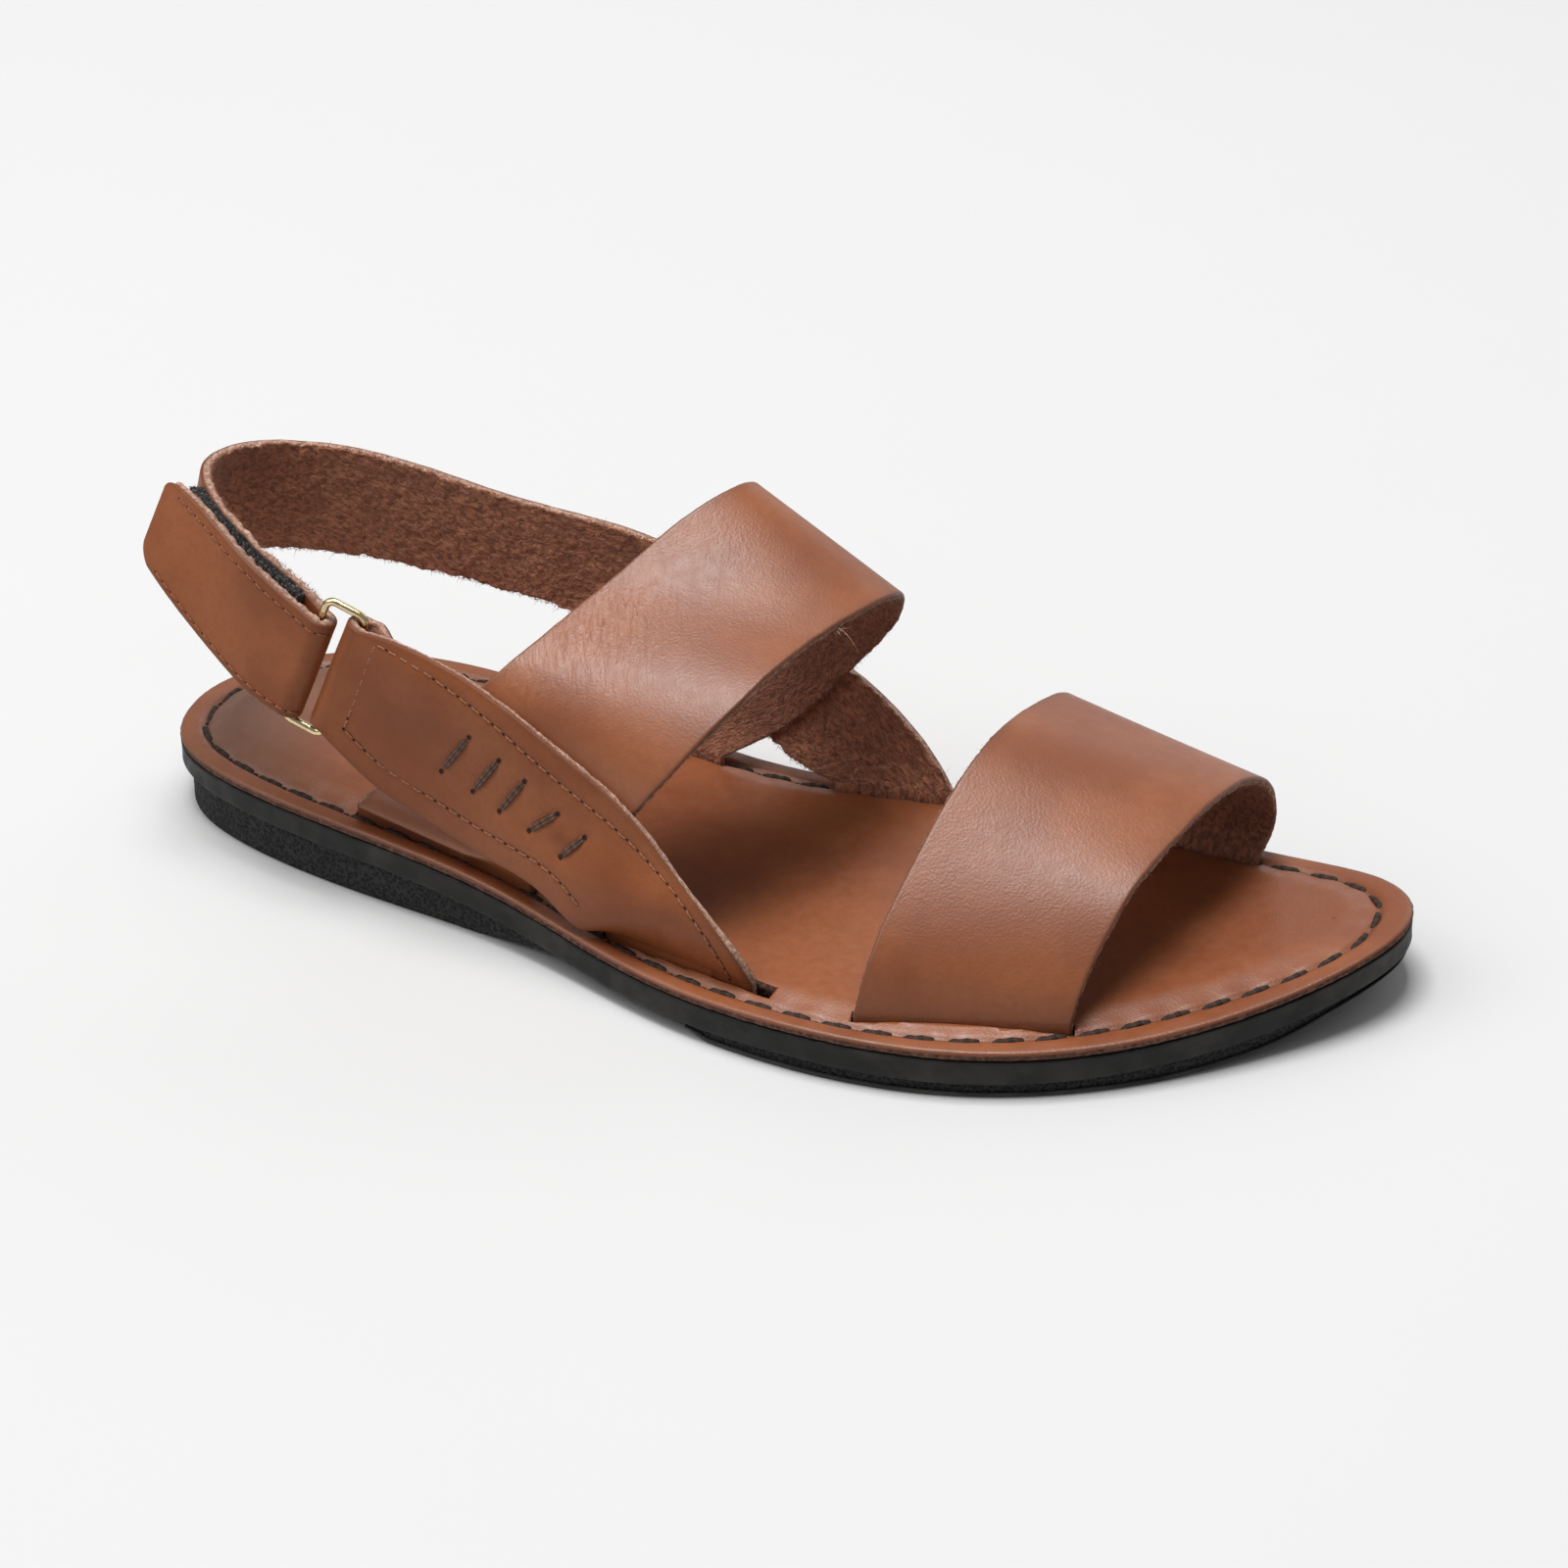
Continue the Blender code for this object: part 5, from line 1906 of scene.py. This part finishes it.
@dataclass
class HeelStrap:
    """Inner wing and heel strap in one run, turned round the ring's rear bar and back as the lined tab."""

    wall: float = 1.8
    full_wall: float = 2.3
    bulge: float = 2.4
    bulge_from: float = 58.0
    bulge_rise: float = 28.0
    bulge_end: float = 3.0
    bulge_fall: float = 16.0
    width: float = 23.2
    rows: int = 380
    tab_rows: int = 90
    lanes: int = 40
    low_corner: float = 5.0
    top_corner: float = 2.6
    tab_spare: float = 1.0
    fold_crease: float = 0.10
    low_seam: float = 1.7
    top_seam: float = 2.2
    fine: Stitching = Stitching(2.9, 2.3, 0.36, 0.26, 0.3, 0.0, 0.05, 0.2)
    fringe: Fringe = Fringe(0.12, 0.85, 0.12)

    def sheet(self) -> tuple[Sheet, int]:
        """Its middle surface, and the row where it turns round the bar."""
        v = edge_lanes(self.width, self.lanes)
        angles = np.linspace(0, 180, FOLD_STEPS)
        turn = RING.fold(0.0, RING.tab_shift, self.width, self.wall, v, angles)
        rows = wing_rows(INNER_WING, v)[::-1] + edge_rows(HEEL_STRAP, v) + turn[:1]
        inner = resample(rows, self.rows)
        inner = np.concatenate([tucked(inner[0])[None], inner])
        tab = edge_rows(TAB, v)
        tab[-1] = tab[-1] + self.tab_spare * unit(tab[-1] - tab[-2])
        outer = self.rounded(resample(turn[-1:] + tab, self.tab_rows), v)
        return Sheet(np.concatenate([inner, np.array(turn[1:-1]), outer]), v, 1.0), len(inner)

    def swell(self, along: Array, turn: float) -> Array:
        """How far the run beside the tape stands out, at distances along the strap."""
        rise = ease((along - turn + self.bulge_from) / self.bulge_rise)
        return self.bulge * rise * ease((turn - self.bulge_end - along) / self.bulge_fall)

    def rounded(self, rows: Array, v: Array) -> Array:
        """The tab's rows, drawn back at the corners of its end."""
        low = corner_round(v * self.width, self.low_corner)
        back = low + corner_round((1 - v) * self.width, self.top_corner)
        reach = reach_of(rows[:, len(v) // 2])
        drawn = 3 * self.low_corner
        share = ease((reach - reach[-1] + drawn) / drawn)
        moved = np.empty_like(rows)
        for j in range(len(v)):
            for axis in range(3):
                moved[:, j, axis] = np.interp(reach - share * back[j], reach, rows[:, j, axis])
        return moved

    def dress(self, sheet: Sheet, turn: int, wardrobe: Wardrobe) -> None:
        """Thickens it, grows the nap of its edges and puts it on the model."""
        finishes = [wardrobe.wing, wardrobe.heel_edge, wardrobe.heel_flesh]
        skin = StrapSkin(self.full_wall, nap=0.22, ragged=0.6, fray=0.3)
        fold = sheet.along[turn] + 4

        def relief(along: Array, across: Array) -> Array:
            """The move towards the tape, and fine creases along the tab's edges next to the fold."""
            near = ease((along - fold + 3) / 3) * ease((fold + 16 - along) / 12)
            inside = np.minimum(across, sheet.width[:, None] - across)
            lines = sum(bell(inside - at, 0.35) for at in (2.0, 3.1, 4.1))
            return self.fold_crease * near * lines + self.swell(along, sheet.along[turn])

        made = skin.mesh("heel_strap", sheet, finishes, relief, turned_from=turn)
        settle(made, "strap_leather", "rear_straps")
        thread = MeshDraft()
        holes = MeshDraft()
        run = np.linspace(fold, sheet.along[-1] - self.low_corner, 120)
        for seed, inset in ((41, self.low_seam), (42, -self.top_seam)):
            line, up = sheet.place(run, np.full_like(run, inset), -(self.full_wall / 2 + 0.02))
            self.fine.sew(thread, holes, line, up, seed)
        settle(thread.make("tab_stitches", [wardrobe.tab_thread]), "strap_leather")
        settle(holes.make("tab_stitch_holes", [wardrobe.pinhole]), "strap_leather")
        fibres = MeshDraft()
        for lane, seed in ((-1, 7), (0, 8)):
            out = self.swell(sheet.along[:turn], sheet.along[turn]) - self.full_wall * 0.4
            line = sheet.mid[:turn, lane] + sheet.normal[:turn, lane] * out[:, None]
            away = unit(sheet.mid[:turn, lane] - sheet.mid[:turn, len(sheet.lanes) // 2])
            self.fringe.grow(fibres, line, unit(away - sheet.normal[:turn, lane]), seed)
        settle(fibres.make("heel_strap_fibres", [wardrobe.heel_flesh]), "strap_leather")


@dataclass
class Ring:
    """Rectangular ring of round wire."""

    wire: float = 0.82
    sides: int = 20
    corner_steps: int = 12

    def build(self) -> MeshDraft:
        """Sweeps the wire round its loop."""
        line = RING.line(self.corner_steps)
        _, _, _, out = RING.axes()
        ahead = unit(np.roll(line, -1, axis=0) - np.roll(line, 1, axis=0))
        up = np.tile(out, (len(line), 1))
        aside = unit(np.cross(up, ahead))
        draft = MeshDraft()
        draft.tube(line, np.full((len(line), 2), self.wire), aside, up, self.sides, closed=True)
        return draft

    def dress(self, draft: MeshDraft) -> None:
        """Gives it its brass and puts it on the model."""
        settle(draft.make("wire_ring", [BrassWire("brass_wire").material()]), "brass_wire", "ring")


@dataclass
class HookTape:
    """Hook-and-loop tape on the heel strap, in the space between it and its tab."""

    least: float = 0.5
    most: float = 3.0
    reach: float = 11.0
    low_shy: float = 0.12
    gap: float = 0.05
    fuzz: float = 0.25
    strap_rows: int = 160
    skip_first: int = 10
    skip_last: int = 2
    free_rows: int = 9
    fringe: Fringe = Fringe(0.07, 0.55, 0.10, 0.9)

    def build(self, heel: HeelStrap, strap: Sheet, turn: int) -> tuple[MeshDraft, Array]:
        """Makes a slab on the strap, its edges fuzzy.

        Args:
            heel: the heel strap's sizes.
            strap: its middle surface.
            turn: the row where it turns round the bar.

        Returns:
            The tape, and the lines of points round its section.
        """
        # Rows of the strap that the tab covers
        tab = strap.mid[turn + FOLD_STEPS - 2 :][self.skip_first : -self.skip_last]
        rows = slice(turn - self.strap_rows, turn)
        move = heel.swell(strap.along[rows], strap.along[turn])[:, None, None]
        run = strap.mid[rows] + move * strap.normal[rows]
        middle = len(strap.lanes) // 2
        apart = np.linalg.norm(run[:, None, middle] - tab[None, :, middle], axis=2)
        mate = apart.argmin(axis=1)
        covered = (mate > 0) & (mate < len(tab) - self.free_rows)
        beside = np.flatnonzero(covered & (apart.min(axis=1) < self.reach))
        keep = strap.lanes >= self.low_shy
        near = run[beside][:, keep]
        out = strap.normal[rows][beside][:, keep]
        space = ((tab[mate[beside]][:, keep] - near) * out).sum(axis=2).mean(axis=1)[:, None, None]
        # The slab on them, from the strap's face outwards
        skin = heel.full_wall / 2 + self.gap
        inner = near + skin * out
        outer = near + np.clip(space - skin, skin + self.least, skin + self.most) * out
        across = unit(np.gradient(near, axis=1))
        v = strap.lanes[keep]
        edge = np.exp(-np.minimum(v - v[0], 1 - v) * heel.width / 0.8) * np.sign(v - 0.5)
        share = np.linspace(0, 1, 5)[None, None, :, None]
        body = inner[:, :, None] * (1 - share) + outer[:, :, None] * share
        push = self.fuzz * rough(body, 0.8) * edge[None, :, None]
        body = body + push[..., None] * across[:, :, None]
        faces = [body[:, :, 0], body[:, -1, 1:-1], body[:, ::-1, -1], body[:, 0, -2:0:-1]]
        section = np.concatenate(faces, axis=1)
        draft = MeshDraft()
        index = draft.add(section)
        draft.sheet(index, wrap=True)
        for ring in (index[0], index[-1][::-1]):
            draft.face(ring)
        return draft, section[:, len(v) - 1 : len(v) + 4]

    def dress(self, made: tuple[MeshDraft, Array]) -> None:
        """Gives it its fabric, adds its loops and puts it on the model."""
        draft, edge = made
        fabric = TapeFabric("woven_tape").material()
        settle(draft.make("tape", [fabric]), "woven_tape", "hook_tape")
        loops = MeshDraft()
        up = np.tile((0.0, 0.0, 1.0), (len(edge), 1))
        for k in range(edge.shape[1]):
            self.fringe.grow(loops, edge[:, k], up, 13 + k)
        settle(loops.make("tape_loops", [fabric]), "woven_tape")


class SoftBox(NamedTuple):
    """A soft light: where it is, what it looks at, its sides and its power."""

    name: str
    place: tuple[float, float, float]
    aim: tuple[float, float, float]
    sides: tuple[float, float]
    power: float


@dataclass(frozen=True)
class Studio:
    """Floor, light and camera."""

    floor_size: float = 8.0
    sky: float = 0.24
    lights: tuple[SoftBox, ...] = (
        SoftBox("overhead", (-0.2, -0.1, 2.5), (0.0, 0.0, 0.0), (1.1, 1.1), 66.0),
        SoftBox("left_fill", (-1.7, -1.0, 2.1), (0.0, 0.0, 0.0), (2.2, 2.2), 30.0),
        SoftBox("backdrop", (0.2, 2.8, 1.3), (0.0, 0.0, 0.03), (3.2, 2.0), 19.0),
    )
    azimuth: float = 26.862
    elevation: float = 31.002
    roll: float = -1.091
    distance: float = 1150.0
    target: tuple[float, float, float] = (133.333, 10.08, 21.7)
    focal_px: float = 5869.4
    frame_px: float = 1600.0
    sensor: float = 36.0

    def build_floor(self) -> None:
        """A wide pale floor."""
        half = self.floor_size / 2
        mesh = bpy.data.meshes.new("floor")
        corners = [(-half, -half, 0), (half, -half, 0), (half, half, 0), (-half, half, 0)]
        mesh.from_pydata(corners, [], [(0, 1, 2, 3)])
        mesh.materials.append(PaleFloor("pale_floor").material())
        floor = bpy.data.objects.new("floor", mesh)
        bpy.context.scene.collection.objects.link(floor)

    def build_light(self) -> None:
        """An even sky and the soft boxes."""
        scene = bpy.context.scene
        scene.world = bpy.data.worlds.new("studio")
        scene.world.use_nodes = True
        sky = scene.world.node_tree.nodes["Background"]
        sky.inputs["Color"].default_value = (1.0, 1.0, 1.0, 1.0)
        sky.inputs["Strength"].default_value = self.sky
        for box in self.lights:
            lamp = bpy.data.lights.new(box.name, "AREA")
            lamp.shape = "RECTANGLE"
            lamp.size, lamp.size_y = box.sides
            lamp.energy = box.power
            made = bpy.data.objects.new(box.name, lamp)
            made.location = box.place
            look = Vector(box.aim) - Vector(box.place)
            made.rotation_euler = look.to_track_quat("-Z", "Y").to_euler()
            scene.collection.objects.link(made)
        scene.view_settings.view_transform = "Standard"

    def build_camera(self) -> None:
        """The camera at the photo's angle."""
        a, e, r = np.radians([self.azimuth, self.elevation, self.roll])
        back = np.array([math.sin(a) * math.cos(e), -math.cos(a) * math.cos(e), math.sin(e)])
        right = np.array([math.cos(a), math.sin(a), 0.0])
        up = np.cross(back, right)
        right, up = right * math.cos(r) + up * math.sin(r), up * math.cos(r) - right * math.sin(r)
        lens = bpy.data.cameras.new("camera")
        lens.sensor_width = self.sensor
        lens.lens = self.focal_px / self.frame_px * self.sensor
        lens.clip_start = 0.01
        made = bpy.data.objects.new("camera", lens)
        place = to_model(np.array(self.target) + back * self.distance)
        made.matrix_world = Matrix.Translation(place) @ Matrix(np.stack([right, up, back], -1)).to_4x4()
        bpy.context.scene.collection.objects.link(made)
        bpy.context.scene.camera = made


def main() -> None:
    """Builds the studio and dresses the sandal piece by piece."""
    logging.basicConfig(level=logging.INFO, format="%(message)s")
    studio = Studio()
    studio.build_camera()
    studio.build_floor()
    studio.build_light()
    wardrobe = Wardrobe.stock()

    for part in (Midsole(), HeelWedge(), ForefootTread()):
        part.dress(part.build())

    toe = CrossStrap("toe_band", "toe_strap", "toe_leather", LeatherBand(TOE_STRAP))
    instep = InstepStrap("instep_band", "rear_straps", "strap_leather", INSTEP, rows=310)
    wing = OuterWing()
    heel = HeelStrap()
    toe_sheet = toe.sheet()
    instep_sheet = instep.sheet()
    wing_sheet, wing_start = wing.sheet()
    heel_sheet, heel_turn = heel.sheet()

    insole = Insole()
    ends = (
        (toe_sheet.mid[1], toe.wall, 0.0),
        (toe_sheet.mid[-2], toe.wall, 0.0),
        (instep_sheet.mid[1], instep.wall, 0.0),
        (instep_sheet.mid[-2], instep.wall, 0.0),
        (wing_sheet.mid[-2], wing.wall, wing.slot_spare),
        (heel_sheet.mid[1], heel.full_wall, 0.0),
    )
    insole.dress(insole.build(ends), wardrobe)
    toe.dress(toe_sheet, wardrobe, wardrobe.toe)
    instep.dress(instep_sheet, wardrobe, wardrobe.strap)
    wing.dress(wing_sheet, wing_start, wardrobe)
    heel.dress(heel_sheet, heel_turn, wardrobe)

    ring = Ring()
    ring.dress(ring.build())
    tape = HookTape()
    tape.dress(tape.build(heel, heel_sheet, heel_turn))


if __name__ == "__main__":
    main()
